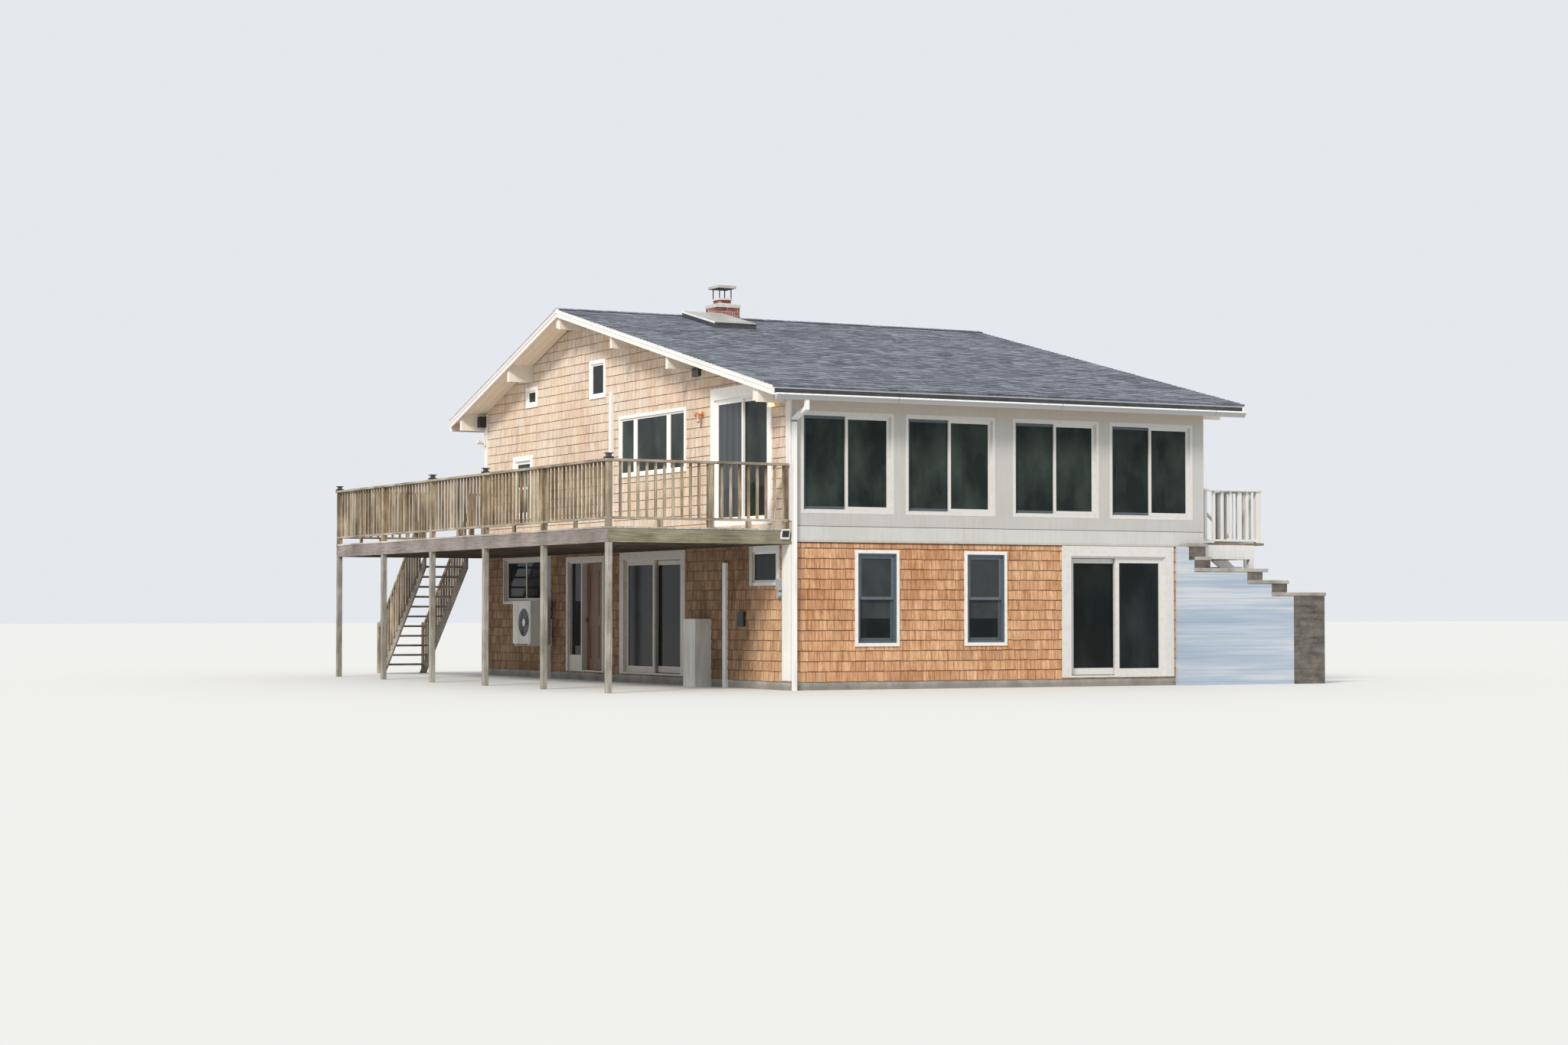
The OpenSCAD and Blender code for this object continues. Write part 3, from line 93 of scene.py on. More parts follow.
floor_mesh = bmesh.new()
bmesh.ops.create_grid(floor_mesh, x_segments=1, y_segments=1, size=300)
floor_data = bpy.data.meshes.new("studio_floor")
floor_mesh.to_mesh(floor_data)
floor_mesh.free()
studio_floor = bpy.data.objects.new("studio_floor", floor_data)
floor_finish = bpy.data.materials.new("pale_floor")
floor_finish.use_nodes = True
floor_surface = floor_finish.node_tree.nodes["Principled BSDF"].inputs
floor_surface["Base Color"].default_value = (0.64, 0.64, 0.62, 1)
floor_surface["Roughness"].default_value = 0.9
floor_data.materials.append(floor_finish)
bpy.context.scene.collection.objects.link(studio_floor)
studio_floor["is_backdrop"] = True


# Base slab. A cast concrete slab carries the walls: grey-brown, pitted, and darker where damp
# rises from its foot.
class Tint:
    """One value or colour inside a finish, so that shader maths on it is written as a sum."""

    def __init__(self, tree, socket=None):
        self.tree = tree
        self.socket = socket

    def node(self, kind, settings=None, sockets=None, output=0):
        """Adds a node, with its settings first and then the values or links of its sockets."""
        added = self.tree.nodes.new("ShaderNode" + kind)
        for name, value in (settings or {}).items():
            if name == "stops":
                for i, (place, colour) in enumerate(value):
                    stops = added.color_ramp.elements
                    stop = stops[i] if i < 2 else stops.new(place)
                    stop.position = place
                    stop.color = (*colour, 1)
            else:
                setattr(added, name, value)
        for name, value in (sockets or {}).items():
            target = added.inputs[name]
            if isinstance(value, Tint):
                self.tree.links.new(value.socket, target)
            elif target.type == "RGBA":
                target.default_value = (*value, 1)
            else:
                target.default_value = value
        return Tint(self.tree, added.outputs[output]) if added.outputs else None

    def maths(self, operation, *values):
        return self.node("Math", {"operation": operation}, dict(enumerate(values)))

    def __add__(self, other):
        return self.maths("ADD", self, other)

    def __sub__(self, other):
        return self.maths("SUBTRACT", self, other)

    def __rsub__(self, other):
        return self.maths("SUBTRACT", other, self)

    def __mul__(self, other):
        return self.maths("MULTIPLY", self, other)

    __radd__ = __add__
    __rmul__ = __mul__

    def over(self, edge, width=0.0):
        """1 where this value is above an edge, 0 below it, with a soft change of some width."""
        if width == 0:
            return self.maths("GREATER_THAN", self, edge)
        return self.node("MapRange", {"interpolation_type": "SMOOTHSTEP"},
                         {0: self, 1: edge - width / 2, 2: edge + width / 2})

    def between(self, low, high, width=0.0):
        return self.over(low, width) - self.over(high, width)

    def wave(self, pitch):
        """A wave from -1 to 1 along this value, with one crest in each pitch."""
        return self.maths("SINE", self * (2 * math.pi / pitch))

    def fade(self, low, high):
        """This value, spread from low at 0 to high at 1."""
        return self.node("MapRange", {}, {0: self, 3: low, 4: high})

    def mix(self, first, second):
        """The first colour where this value is 0, and the second where it is 1."""
        return self.node("Mix", {"data_type": "RGBA"}, {0: self, 6: first, 7: second}, 2)

    def shade(self, colour):
        """A colour made lighter or darker by this value, which is 1 for no change."""
        grey = self.node("CombineColor", {}, {0: self, 1: self, 2: self})
        return self.node("Mix", {"data_type": "RGBA", "blend_type": "MULTIPLY"},
                         {0: 1.0, 6: colour, 7: grey}, 2)

    def ramp(self, *stops):
        return self.node("ValToRGB", {"stops": stops}, {0: self})

    def spread(self, dark, pale):
        """The dark colour where even noise is low, and the pale one where it is high."""
        return self.ramp((0.3, dark), (0.7, pale))

    def noise(self, scale, detail=3.0, rough=0.55):
        """Even cloudy noise on this place, from about 0.3 to 0.7."""
        return self.node("TexNoise", {}, {"Vector": self, "Scale": scale, "Detail": detail,
                                          "Roughness": rough})

    def streaks(self, x, y, z, detail):
        """The same noise, with a scale for each axis, drawn out where the scale is small."""
        return self.node("VectorMath", {"operation": "MULTIPLY"}, {0: self, 1: (x, y, z)}).noise(1, detail)

    def axis(self, letter):
        return self.node("SeparateXYZ", {}, {0: self}, "XYZ".index(letter))

    def tone(self):
        """The tone of each shingle, board or brick, from 0 to 1."""
        return self.node("Attribute", {"attribute_name": "tone"}, output=2)


def start_finish(name):
    """A new empty finish, and the place on the piece that its patterns are laid out on."""
    finish = bpy.data.materials.new(name)
    finish.use_nodes = True
    finish.node_tree.nodes.clear()
    return finish, Tint(finish.node_tree).node("TexCoord", output="Object")


def close_finish(finish, colour, roughness, height=None, depth=0.002, **constants):
    """Joins colour, roughness and relief to the finish's surface shader."""
    tint = Tint(finish.node_tree)
    sockets = {"Base Color": colour, "Roughness": roughness}
    for name, value in constants.items():
        sockets[name.replace("_", " ")] = value
    if height is not None:
        sockets["Normal"] = tint.node("Bump", {}, {"Height": height, "Distance": depth, "Strength": 1.0})
    surface = tint.node("BsdfPrincipled", {}, sockets)
    tint.node("OutputMaterial", {}, {"Surface": surface})
    return finish


def coat(finish, *names):
    """Gives CAD nodes a finish."""
    for name in names:
        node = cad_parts[name]
        node.data.materials.clear()
        node.data.materials.append(finish)


def cast(name, dark, pale, damp_z=-1.0):
    """Cast concrete: cloudy, pitted and stained, and dark with damp below some height."""
    finish, place = start_finish(name)
    cloud = place.noise(2.5, 5)
    pits = place.noise(90, 2)
    stain = place.streaks(5, 5, 1, 4).over(0.56, 0.15)
    damp = place.axis("Z").over(damp_z, 0.12).fade(0.65, 1.0)
    colour = (stain * 0.4).mix(cloud.spread(dark, pale), dark)
    return close_finish(finish, damp.shade(colour), 0.92, pits + cloud * 2, 0.003)


concrete = cast("cast_concrete", (0.25, 0.23, 0.2), (0.46, 0.44, 0.4), 0.1)
coat(concrete, "foundation")


# Lower storey walls. The walls on the slab are clad with natural cedar shingles, nailed up in
# courses of one exposure, each shingle with its own width, tone and butt. On the deck side they
# are browner, with painted shade under the deck and a lighter lit copy towards the front
# corner.
slab_low, slab_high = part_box("foundation")
house_w = slab_high.x - slab_low.x
house_d = slab_high.y - slab_low.y
front_side = Matrix.Translation((slab_low.x, slab_low.y, 0))
deck_side = Matrix.Translation((slab_low.x, slab_high.y, 0)) @ Matrix.Rotation(-math.pi / 2, 4, "Z")
back_side = Matrix.Translation((slab_high.x, slab_high.y, 0)) @ Matrix.Rotation(math.pi, 4, "Z")
slope_side = Matrix.Translation((slab_high.x, slab_low.y, 0)) @ Matrix.Rotation(math.pi / 2, 4, "Z")


def sort_solids(node):
    """A merged copy of a CAD node, and its separate solids in the order of their lowest corner to
    0.1 mm, each as its lowest and highest corner and all its corners."""
    shape = bmesh.new()
    shape.from_mesh(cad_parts[node].data)
    bmesh.ops.remove_doubles(shape, verts=shape.verts, dist=0.00002)
    found = []
    waiting = set(shape.verts)
    while waiting:
        reached = [waiting.pop()]
        corners = []
        while reached:
            corner = reached.pop()
            corners.append(corner)
            for edge in corner.link_edges:
                other = edge.other_vert(corner)
                if other in waiting:
                    waiting.discard(other)
                    reached.append(other)
        low = Vector([min(corner.co[i] for corner in corners) for i in range(3)])
        high = Vector([max(corner.co[i] for corner in corners) for i in range(3)])
        found.append((low, high, corners))
    return shape, sorted(found, key=lambda solid: [round(value, 4) for value in solid[0]])


def solids(node):
    """The boxes of a CAD node's separate solids, each as its lowest and highest corner."""
    shape, found = sort_solids(node)
    shape.free()
    return [(low, high) for low, high, corners in found]


def cut_outs(face, nodes):
    """Rectangles (left, right, foot, head) that trim and openings take out of a wall face."""
    found = []
    skin_in, skin_out = -0.005, -0.02
    for node in nodes:
        for low, high in solids(node):
            a = face.inverted() @ low
            b = face.inverted() @ high
            if min(a.y, b.y) < skin_in and max(a.y, b.y) > skin_out:
                found.append((min(a.x, b.x), max(a.x, b.x), min(a.z, b.z), max(a.z, b.z)))
    return found


def trim_round(parts, cut):
    """What is left of some rectangles round one cut-out, without slivers."""
    left, right, foot, head = cut
    least = 0.012
    kept = []
    for a, b, c, d in parts:
        if b <= left or a >= right or d <= foot or c >= head:
            kept.append((a, b, c, d))
            continue
        kept.append((a, left, c, d))
        kept.append((right, b, c, d))
        kept.append((max(a, left), min(b, right), c, foot))
        kept.append((max(a, left), min(b, right), head, d))
    return [part for part in kept if part[1] - part[0] > least and part[3] - part[2] > least]


def add_block(shape, low, high, turn=Matrix()):
    """One squared piece between two corners, set in place by a turn. Returns its vertices."""
    size = Vector(high) - Vector(low)
    middle = (Vector(high) + Vector(low)) / 2
    place = turn @ Matrix.Translation(middle) @ Matrix.Diagonal((*size, 1))
    return bmesh.ops.create_cube(shape, size=1, matrix=place)["verts"]


def faces_at(corners):
    return {face for corner in corners for face in corner.link_faces}


def lay_courses(face, size, cuts, seed, course_h, widths, butts, slips, seam):
    """Courses of shingles on a face, from (left, right, foot, head), each one a wedge that is thick
    at its butt and slips under the next course. The map "lay" runs from 0 to 1 across a shingle
    and up its course, and each shingle has a tone of its own."""
    dice = random.Random(seed)
    lap = 0.006
    tip = 0.25 * butts[0]
    left, right, foot, head = size
    cladding = bmesh.new()
    cladding.faces.layers.float.new("tone")
    cladding.loops.layers.uv.new("lay")
    for n in range(math.ceil((head - foot) / course_h)):
        course = bmesh.new()
        tone = course.faces.layers.float.new("tone")
        lay = course.loops.layers.uv.new("lay")
        z = foot + n * course_h
        x = left - dice.uniform(0, widths[0])
        while x < right:
            width = dice.uniform(*widths)
            butt = dice.uniform(*butts)
            slip = dice.uniform(*slips)
            shade = dice.random()
            tilt = Matrix.Translation((0, -butt, z)) @ Matrix.Rotation(-(butt - tip) / course_h, 4, "X")
            upright = tilt.inverted()
            parts = [(max(x, left), min(x + width - seam, right), z + slip, min(z + course_h + lap, head))]
            for cut in cuts:
                parts = trim_round(parts, cut)
            for a, b, c, d in parts:
                corners = add_block(course, (a, 0, c - z), (b, butt, d - z), tilt)
                for side in faces_at(corners):
                    side[tone] = shade
                    for loop in side.loops:
                        flat = upright @ loop.vert.co
                        loop[lay].uv = ((flat.x - x) / (width - seam), (flat.z - slip) / course_h)
            x += width
        strip = bpy.data.meshes.new("course")
        course.to_mesh(strip)
        course.free()
        cladding.from_mesh(strip)
        bpy.data.meshes.remove(strip)
    cladding.transform(face)
    return cladding


def add_piece(name, shape, finish, body, slot, *nodes):
    """Closes a mesh as one piece, with its finish and body, and hides the nodes it stands for; its slot is
    not used.
    """
    mesh = bpy.data.meshes.new(name)
    shape.to_mesh(mesh)
    shape.free()
    mesh.materials.append(finish)
    piece = bpy.data.objects.new(name, mesh)
    bpy.context.scene.collection.objects.link(piece)
    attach(piece, body)
    if nodes:
        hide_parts(*nodes)
    return piece


def wood_of(place, dark, middle, pale, spread=0.22):
    """Cedar with upright grain, a tone for each shingle and cloudy bleaching, as its colour and
    the height of its grain."""
    tone = place.tone()
    grain = place.streaks(48, 48, 2.2, 4)
    fibre = place.streaks(190, 190, 5, 2)
    cloud = place.noise(0.9, 3)
    patch = place.noise(4.5, 3)
    value = (tone - 0.5) * spread + grain * 1.15 + fibre * 0.5 + cloud * 0.5 + patch * 0.45 - 0.8
    return value.ramp((0.22, dark), (0.5, middle), (0.78, pale)), grain * 0.5 + fibre * 0.3


def shade_lines(place, colour, line, butt=0.8, under=0.6, seam=0.55):
    """Darkens a shingle's butt, for its dark end grain and as painted shade on its underside,
    paints the shadow of the course above on the strip below it, and darkens its seams.
    """
    lay = place.node("UVMap", {"uv_map": "lay"})
    across = lay.axis("X")
    up = lay.axis("Y")
    edge = place.maths("ABSOLUTE", across - 0.5).over(0.474, 0.03)
    weak = place.noise(5, 4).over(0.45, 0.3).fade(0.55, 1.0)
    # Painted shade along each butt and a painted shadow under the course above, broken up by noise.
    shade_mask = place.maths("MAXIMUM", (1 - up.over(0.03, 0.04)) * butt, up.over(0.945, 0.07) * under) * weak
    return place.maths("MAXIMUM", shade_mask, edge * seam).mix(colour, line)


sheathing, place = start_finish("board_sheathing")
grain = place.streaks(30, 30, 3, 4)
sheathing_w = 0.2
board = place.axis("Z").wave(sheathing_w).over(0.97, 0.04)
sheathing_colour = grain.spread((0.05, 0.032, 0.02), (0.13, 0.085, 0.055))
close_finish(sheathing, (board * 0.5).mix(sheathing_colour, (0.02, 0.014, 0.01)), 0.9, grain, 0.002)
coat(sheathing, "front_wall_lower", "deck_side_wall_lower", "door_headers", "back_wall_lower",
     "right_wall_lower")

orange_cedar, place = start_finish("orange_cedar")
cedar_colour, relief = wood_of(place, (0.33, 0.15, 0.06), (0.51, 0.275, 0.14), (0.68, 0.43, 0.25))
streak = place.streaks(8, 8, 0.6, 3).over(0.6, 0.16)
cedar_colour = (streak * 0.4).mix(cedar_colour, (0.33, 0.15, 0.07))
cedar_colour = (place.tone().over(0.9) * 0.4).mix(cedar_colour, (0.27, 0.12, 0.055))
cedar_colour = shade_lines(place, cedar_colour, (0.07, 0.028, 0.013), 0.85, 0.7, 0.4)
band_low = min(low.z for low, high in solids("front_bands"))
under_band = place.axis("Z").over(band_low - 0.018, 0.02)
band_shadow = under_band * (1 - place.axis("Y").over(slab_low.y + 0.05)) * 0.85
close_finish(orange_cedar, band_shadow.mix(cedar_colour, (0.05, 0.022, 0.012)), 0.84, relief, 0.004)

brown_cedar, place = start_finish("brown_cedar")
shaded_cedar_colour = wood_of(place, (0.1, 0.056, 0.026), (0.23, 0.135, 0.068), (0.38, 0.235, 0.13))[0]
lit_colour, relief = wood_of(place, (0.3, 0.16, 0.08), (0.46, 0.27, 0.145), (0.62, 0.4, 0.24))
# Painted shade: a dark shaded copy of the cedar under the deck, mixed with a lit copy near the front
# corner.
shade_edge = -4.75
in_shade = (place.axis("Y") + place.noise(2.2, 3) * 0.8).over(shade_edge, 0.9)
cedar_colour = in_shade.mix(lit_colour, shaded_cedar_colour)
close_finish(brown_cedar, shade_lines(place, cedar_colour, (0.05, 0.024, 0.013)), 0.86, relief, 0.004)

shingle_lay = {"course_h": 0.161, "widths": (0.08, 0.2), "butts": (0.01, 0.015),
               "slips": (-0.004, 0.004), "seam": 0.003}
starter_z = slab_high.z - 0.02
rim_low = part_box("deck_frame")[0]
floor_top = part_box("upper_floor")[1].z
rear_cuts = cut_outs(back_side, ["rear_windows", "corner_trim"])

for name, face, size, cuts, finish, seed in (
        ("front_lower_shingles", front_side, (0, house_w, starter_z, band_low),
         cut_outs(front_side, ["front_lower_windows", "front_door_frame"]), orange_cedar, 11),
        ("deck_side_lower_shingles", deck_side, (0, house_d, starter_z, rim_low.z),
         cut_outs(deck_side, ["deck_side_lower_windows", "side_door_frame", "corner_trim", "line_covers"]),
         brown_cedar, 12),
        ("slope_side_lower_shingles", slope_side, (0, house_d, starter_z, floor_top),
         cut_outs(slope_side, ["corner_trim", "landing_platform"]), orange_cedar, 13),
        ("back_lower_shingles", back_side, (0, house_w, starter_z, floor_top),
         rear_cuts, orange_cedar, 14)):
    add_piece(name, lay_courses(face, size, cuts, seed, **shingle_lay), finish, "house", "cedar")


# Upper storey walls. Machine-grooved cedar shakes cover the gables and the back, in straight
# courses that fit closely, bleached from peach to cream by the sun. They are cut to the rake.
pale_cedar, place = start_finish("pale_cedar")
shake_colour, relief = wood_of(place, (0.48, 0.345, 0.25), (0.655, 0.545, 0.44), (0.74, 0.655, 0.56), 0.18)
bleached = place.streaks(0.7, 0.35, 0.5, 3).over(0.5, 0.2)
shake_colour = (bleached * 0.5).mix(shake_colour, (0.74, 0.67, 0.56))
rusty = place.streaks(7, 7, 0.45, 3).over(0.6, 0.14)
shake_colour = (rusty * 0.4).mix(shake_colour, (0.52, 0.33, 0.22))
honey = place.streaks(1, 1.3, 1.1, 4).over(0.53, 0.14)
shake_colour = (honey * 0.3).mix(shake_colour, (0.7, 0.5, 0.3))
wander = place.streaks(6, 6, 1.5, 2) * 0.06
groove_pitch = 0.026
groove = (place.axis("X") + place.axis("Y") + wander).wave(groove_pitch)
# Painted shade: the colour darkens in the bottom of each groove.
shake_colour = (groove.over(0.8, 0.35) * 0.22).mix(shake_colour, (0.4, 0.22, 0.12))
shake_colour = shade_lines(place, shake_colour, (0.25, 0.115, 0.06), 0.75, 0.85, 0.45)
close_finish(pale_cedar, shake_colour, 0.86, relief - groove * 0.12, 0.004)
coat(sheathing, "deck_side_wall_upper", "right_wall_upper", "back_wall_upper")

floor_wood, place = start_finish("floor_planks")
grain = place.streaks(40, 3, 40, 4)
plank_w = 0.14
joint = place.axis("X").wave(plank_w).over(0.96, 0.05)
floor_colour = grain.spread((0.16, 0.1, 0.06), (0.3, 0.2, 0.12))
close_finish(floor_wood, (joint * 0.6).mix(floor_colour, (0.05, 0.035, 0.025)), 0.5, grain, 0.001)
coat(floor_wood, "upper_floor")

shake_lay = {"course_h": 0.161, "widths": (0.13, 0.2), "butts": (0.009, 0.012),
             "slips": (-0.002, 0.002), "seam": 0.002}


def highest(node, y=None):
    """The highest corner of a CAD node, or of its corners at one distance back."""
    corners = [corner.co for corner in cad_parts[node].data.vertices]
    if y is not None:
        corners = [corner for corner in corners if abs(corner.y - y) < 0.001]
    return max(corners, key=lambda corner: corner.z)


def cut_to_rake(cladding, wall):
    """Cuts cladding off along the two top edges of a gable wall and closes the cut ends."""
    peak = highest(wall)
    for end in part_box(wall):
        top = highest(wall, end.y)
        rise = (peak.z - top.z) / (peak.y - top.y)
        everything = cladding.verts[:] + cladding.edges[:] + cladding.faces[:]
        cut = bmesh.ops.bisect_plane(cladding, geom=everything, plane_co=peak, plane_no=(0, -rise, 1),
                                     clear_outer=True)
        rims = [part for part in cut["geom_cut"] if isinstance(part, bmesh.types.BMEdge)]
        bmesh.ops.holes_fill(cladding, edges=rims, sides=0)
    return cladding


gable_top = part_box("deck_side_wall_upper")[1].z
deck_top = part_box("deck_boards")[1].z
deck_cuts = cut_outs(deck_side, ["deck_side_upper_windows", "corner_trim", "line_covers", "roof_beams"])
slope_cuts = cut_outs(slope_side, ["rear_windows", "corner_trim", "roof_beams"])
back_top = highest("back_wall_upper", slab_high.y).z - 0.002
for name, face, size, cuts, seed, wall in (
        ("deck_gable_shakes", deck_side, (0, house_d, deck_top, gable_top), deck_cuts, 21,
         "deck_side_wall_upper"),
        ("slope_gable_shakes", slope_side, (0, house_d, floor_top, gable_top), slope_cuts, 22,
         "right_wall_upper"),
        ("back_upper_shakes", back_side, (0, house_w, floor_top, back_top), rear_cuts, 23, None)):
    shakes = lay_courses(face, size, cuts, seed, **shake_lay)
    add_piece(name, cut_to_rake(shakes, wall) if wall else shakes, pale_cedar, "house", "pale_cedar")


# Painted timber. White boards band the front, stand at the corners and hang under the rakes over
# six bevelled roof beams, all brush painted, with faint streaks, rain marks and eased arrises.
def ease_edges(shape, edges, width):
    """Takes the sharpness off some edges with one narrow flat."""
    bmesh.ops.bevel(shape, geom=edges, offset=width, offset_type="OFFSET", segments=1, profile=0.5,
                    affect="EDGES", clamp_overlap=True, material=-1)


def eased_copy(node, wanted=None, ease=0.004):
    """A merged copy of a CAD node, or of the wanted ones among its solids, with eased arrises."""
    shape, found = sort_solids(node)
    if wanted is not None:
        spare = [corner for i, solid in enumerate(found) if i not in wanted for corner in solid[2]]
        bmesh.ops.delete(shape, geom=spare, context="VERTS")
    bmesh.ops.dissolve_limit(shape, angle_limit=math.radians(1), verts=shape.verts, edges=shape.edges)
    arrises = [edge for edge in shape.edges
               if edge.is_manifold and edge.is_convex and edge.calc_face_angle() > math.radians(40)]
    ease_edges(shape, arrises, ease)
    return shape


def add_eased(finish, slot, *nodes, ease=0.004):
    """Adds eased copies of CAD nodes of the house, which they stand for."""
    for node in nodes:
        add_piece("eased_" + node, eased_copy(node, ease=ease), finish, "house", slot, node)


def brushed(place, colour, worn, wear=0.25):
    """Brush paint over boards: faint streaks, soft clouding and rain marks."""
    cloud = place.noise(1.3, 4)
    streak = place.streaks(26, 26, 1.6, 3)
    mark = place.streaks(12, 12, 0.8, 4).over(0.63, 0.12)
    amount = (cloud - 0.5) * 1.2 + (streak - 0.5) * 0.9 + mark * 0.3 + wear
    return amount.mix(colour, worn)


def paint(name, colour, worn, rough=0.5):
    """A finish of plain brush paint."""
    finish, place = start_finish(name)
    relief = place.streaks(60, 60, 4, 2) + place.noise(3, 3)
    return close_finish(finish, brushed(place, colour, worn), rough, relief, 0.0012)


white_paint = paint("white_paint", (0.76, 0.75, 0.72), (0.6, 0.58, 0.53))
coat(white_paint, "corner_trim")

band_paint, place = start_finish("band_paint")
height = place.axis("Z")
band_h = 0.25
joint = height.between(band_low + band_h - 0.006, band_low + band_h + 0.004)
# Painted shade: the band and panels are a greyer white than the trim, partly for the shade that trees cast
# on the front.
band_colour = brushed(place, (0.52, 0.52, 0.5), (0.43, 0.42, 0.385))
foot_stain = (1 - height.over(band_low + 0.03, 0.05)) * place.streaks(14, 14, 1, 3)
band_colour = (foot_stain * 0.8).mix(band_colour, (0.33, 0.25, 0.18))
panel_colour = brushed(place, (0.46, 0.455, 0.432), (0.385, 0.375, 0.345))
warm_z = 4.45
eave_warmth = height.over(warm_z, 0.4) * 0.6
panel_colour = eave_warmth.mix(panel_colour, (0.6, 0.47, 0.33))
band_colour = height.over(band_low + band_h).mix(band_colour, panel_colour)
close_finish(band_paint, (joint * 0.8).mix(band_colour, (0.1, 0.09, 0.08)), 0.5, place.noise(3, 3), 0.001)
coat(band_paint, "front_bands")

soffit_paint, place = start_finish("soffit_paint")
seam = place.axis("X").wave(plank_w).over(0.975, 0.02)
soffit_colour = brushed(place, (0.94, 0.84, 0.7), (0.86, 0.72, 0.57))
soffit_colour = (seam * 0.22).mix(soffit_colour, (0.4, 0.3, 0.22))
close_finish(soffit_paint, soffit_colour, 0.6, place.noise(3, 3) - seam, 0.003)
coat(soffit_paint, "roof_planks")

beam_paint, place = start_finish("beam_paint")
check = place.streaks(1.2, 60, 60, 3).over(0.68, 0.05)
beam_colour = (check * 0.3).mix(brushed(place, (0.8, 0.76, 0.7), (0.68, 0.6, 0.5)), (0.4, 0.33, 0.27))
close_finish(beam_paint, beam_colour, 0.55, place.noise(3, 3) - check, 0.002)
add_eased(beam_paint, "white_paint", "roof_beams")

rake_paint, place = start_finish("rake_paint")
ridge_low, ridge_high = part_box("ridge_cap")
ridge_y = (ridge_low.y + ridge_high.y) / 2
behind = place.axis("Y").over(ridge_y)
rake_colour = brushed(place, (0.8, 0.79, 0.76), (0.66, 0.63, 0.58))
rake_colour = (behind * 0.35).mix(rake_colour, (0.66, 0.56, 0.55))
close_finish(rake_paint, rake_colour, 0.5, place.noise(3, 3), 0.001)
coat(rake_paint, "barge_boards")


# Roof. Laminated mineral shingles in slate blue and purple-grey lie on painted planks, with
# their butts stepping in and out, folded caps along the ridge and a metal drip edge all round.
def slate_of(place):
    """Mineral shingle with a tone for each tab and coloured grit, as its colour and relief."""
    tone = place.tone()
    grit = place.noise(420, 2)
    blend = place.noise(22, 2)
    cloud = place.noise(1.4, 3)
    value = tone * 0.4 + grit * 0.45 + blend * 0.6 + cloud * 0.25 - 0.35
    colour = value.ramp((0.2, (0.07, 0.082, 0.105)), (0.5, (0.165, 0.185, 0.225)),
                        (0.82, (0.3, 0.325, 0.38)))
    return colour, grit


slate, place = start_finish("slate_shingle")
slate_colour, grit = slate_of(place)
slate_colour = shade_lines(place, slate_colour, (0.02, 0.023, 0.03), 0.85, 0.75, 0.3)
close_finish(slate, slate_colour, 0.92, grit, 0.002)

cover_low, cover_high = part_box("roof_covering")
cover_edge, place = start_finish("cover_edge")
under_colour, grit = slate_of(place)
side = place.maths("ABSOLUTE", place.axis("X")).over(cover_high.x - 0.004)
edge_colour = place.axis("Y").over(ridge_y).mix((0.7, 0.69, 0.67), (0.46, 0.43, 0.46))
close_finish(cover_edge, side.mix(under_colour, edge_colour), 0.7, grit, 0.001)
coat(cover_edge, "roof_covering", "ridge_cap")

ridge_z = highest("roof_covering").z
tab_exposure = 0.143
tab_lay = {"course_h": tab_exposure, "widths": (0.1, 0.34), "butts": (0.004, 0.009),
           "slips": (-0.012, 0.012), "seam": 0.002}
ridge_clear = 0.1
slope_rise = {}
for name, end_y, seed in (("front_roof_tabs", cover_low.y, 31), ("back_roof_tabs", cover_high.y, 32)):
    eave_z = highest("roof_covering", end_y).z
    slope_rise[name] = (ridge_z - eave_z) / abs(ridge_y - end_y)
    pitch = math.atan(slope_rise[name])
    about = 0 if end_y < ridge_y else math.pi
    corner_x = cover_low.x if end_y < ridge_y else cover_high.x
    slope_face = (Matrix.Translation((corner_x, end_y, eave_z)) @ Matrix.Rotation(about, 4, "Z")
                  @ Matrix.Rotation(pitch - math.pi / 2, 4, "X"))
    run = abs(ridge_y - end_y) / math.cos(pitch) - ridge_clear
    holes = []
    for node in ("skylight_frame", "chimney_stack"):
        low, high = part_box(node)
        across = sorted(abs(x - corner_x) for x in (low.x, high.x))
        up = sorted(abs(y - end_y) / math.cos(pitch) for y in (low.y, high.y))
        if (low.y < ridge_y) == (end_y < ridge_y):
            holes.append((*across, *up))
    tabs = lay_courses(slope_face, (0, cover_high.x - cover_low.x, 0, run), holes, seed, **tab_lay)
    add_piece(name, tabs, slate, "house", "roof_shingle")

cap_dice = random.Random(33)
caps = bmesh.new()
cap_tone = caps.faces.layers.float.new("tone")
cap_lay = caps.loops.layers.uv.new("lay")
cap_l, cap_w, cap_t, cap_bed = 1.9 * tab_exposure, 0.158, 0.007, 0.004
cap_lift = 0.02
for n in range(math.floor((ridge_high.x - ridge_low.x) / tab_exposure)):
    x = ridge_low.x + n * tab_exposure
    shade = cap_dice.random()
    length = min(cap_l, ridge_high.x - x)
    for name, turn in (("front_roof_tabs", 0), ("back_roof_tabs", math.pi)):
        pitch = math.atan(slope_rise[name])
        fold = (Matrix.Translation((x + length / 2, ridge_y, ridge_high.z - cap_bed))
                @ Matrix.Rotation(turn, 4, "Z") @ Matrix.Rotation(pitch, 4, "X")
                @ Matrix.Rotation(cap_lift if turn == 0 else -cap_lift, 4, "Y"))
        corners = add_block(caps, (-length / 2, -cap_w, 0), (length / 2, 0, cap_t), fold)
        for face in faces_at(corners):
            face[cap_tone] = shade
            for loop in face.loops:
                loop[cap_lay].uv = (0.5, (loop.vert.co.x - x) / tab_exposure)
add_piece("ridge_cap_shingles", caps, slate, "house", "roof_shingle")

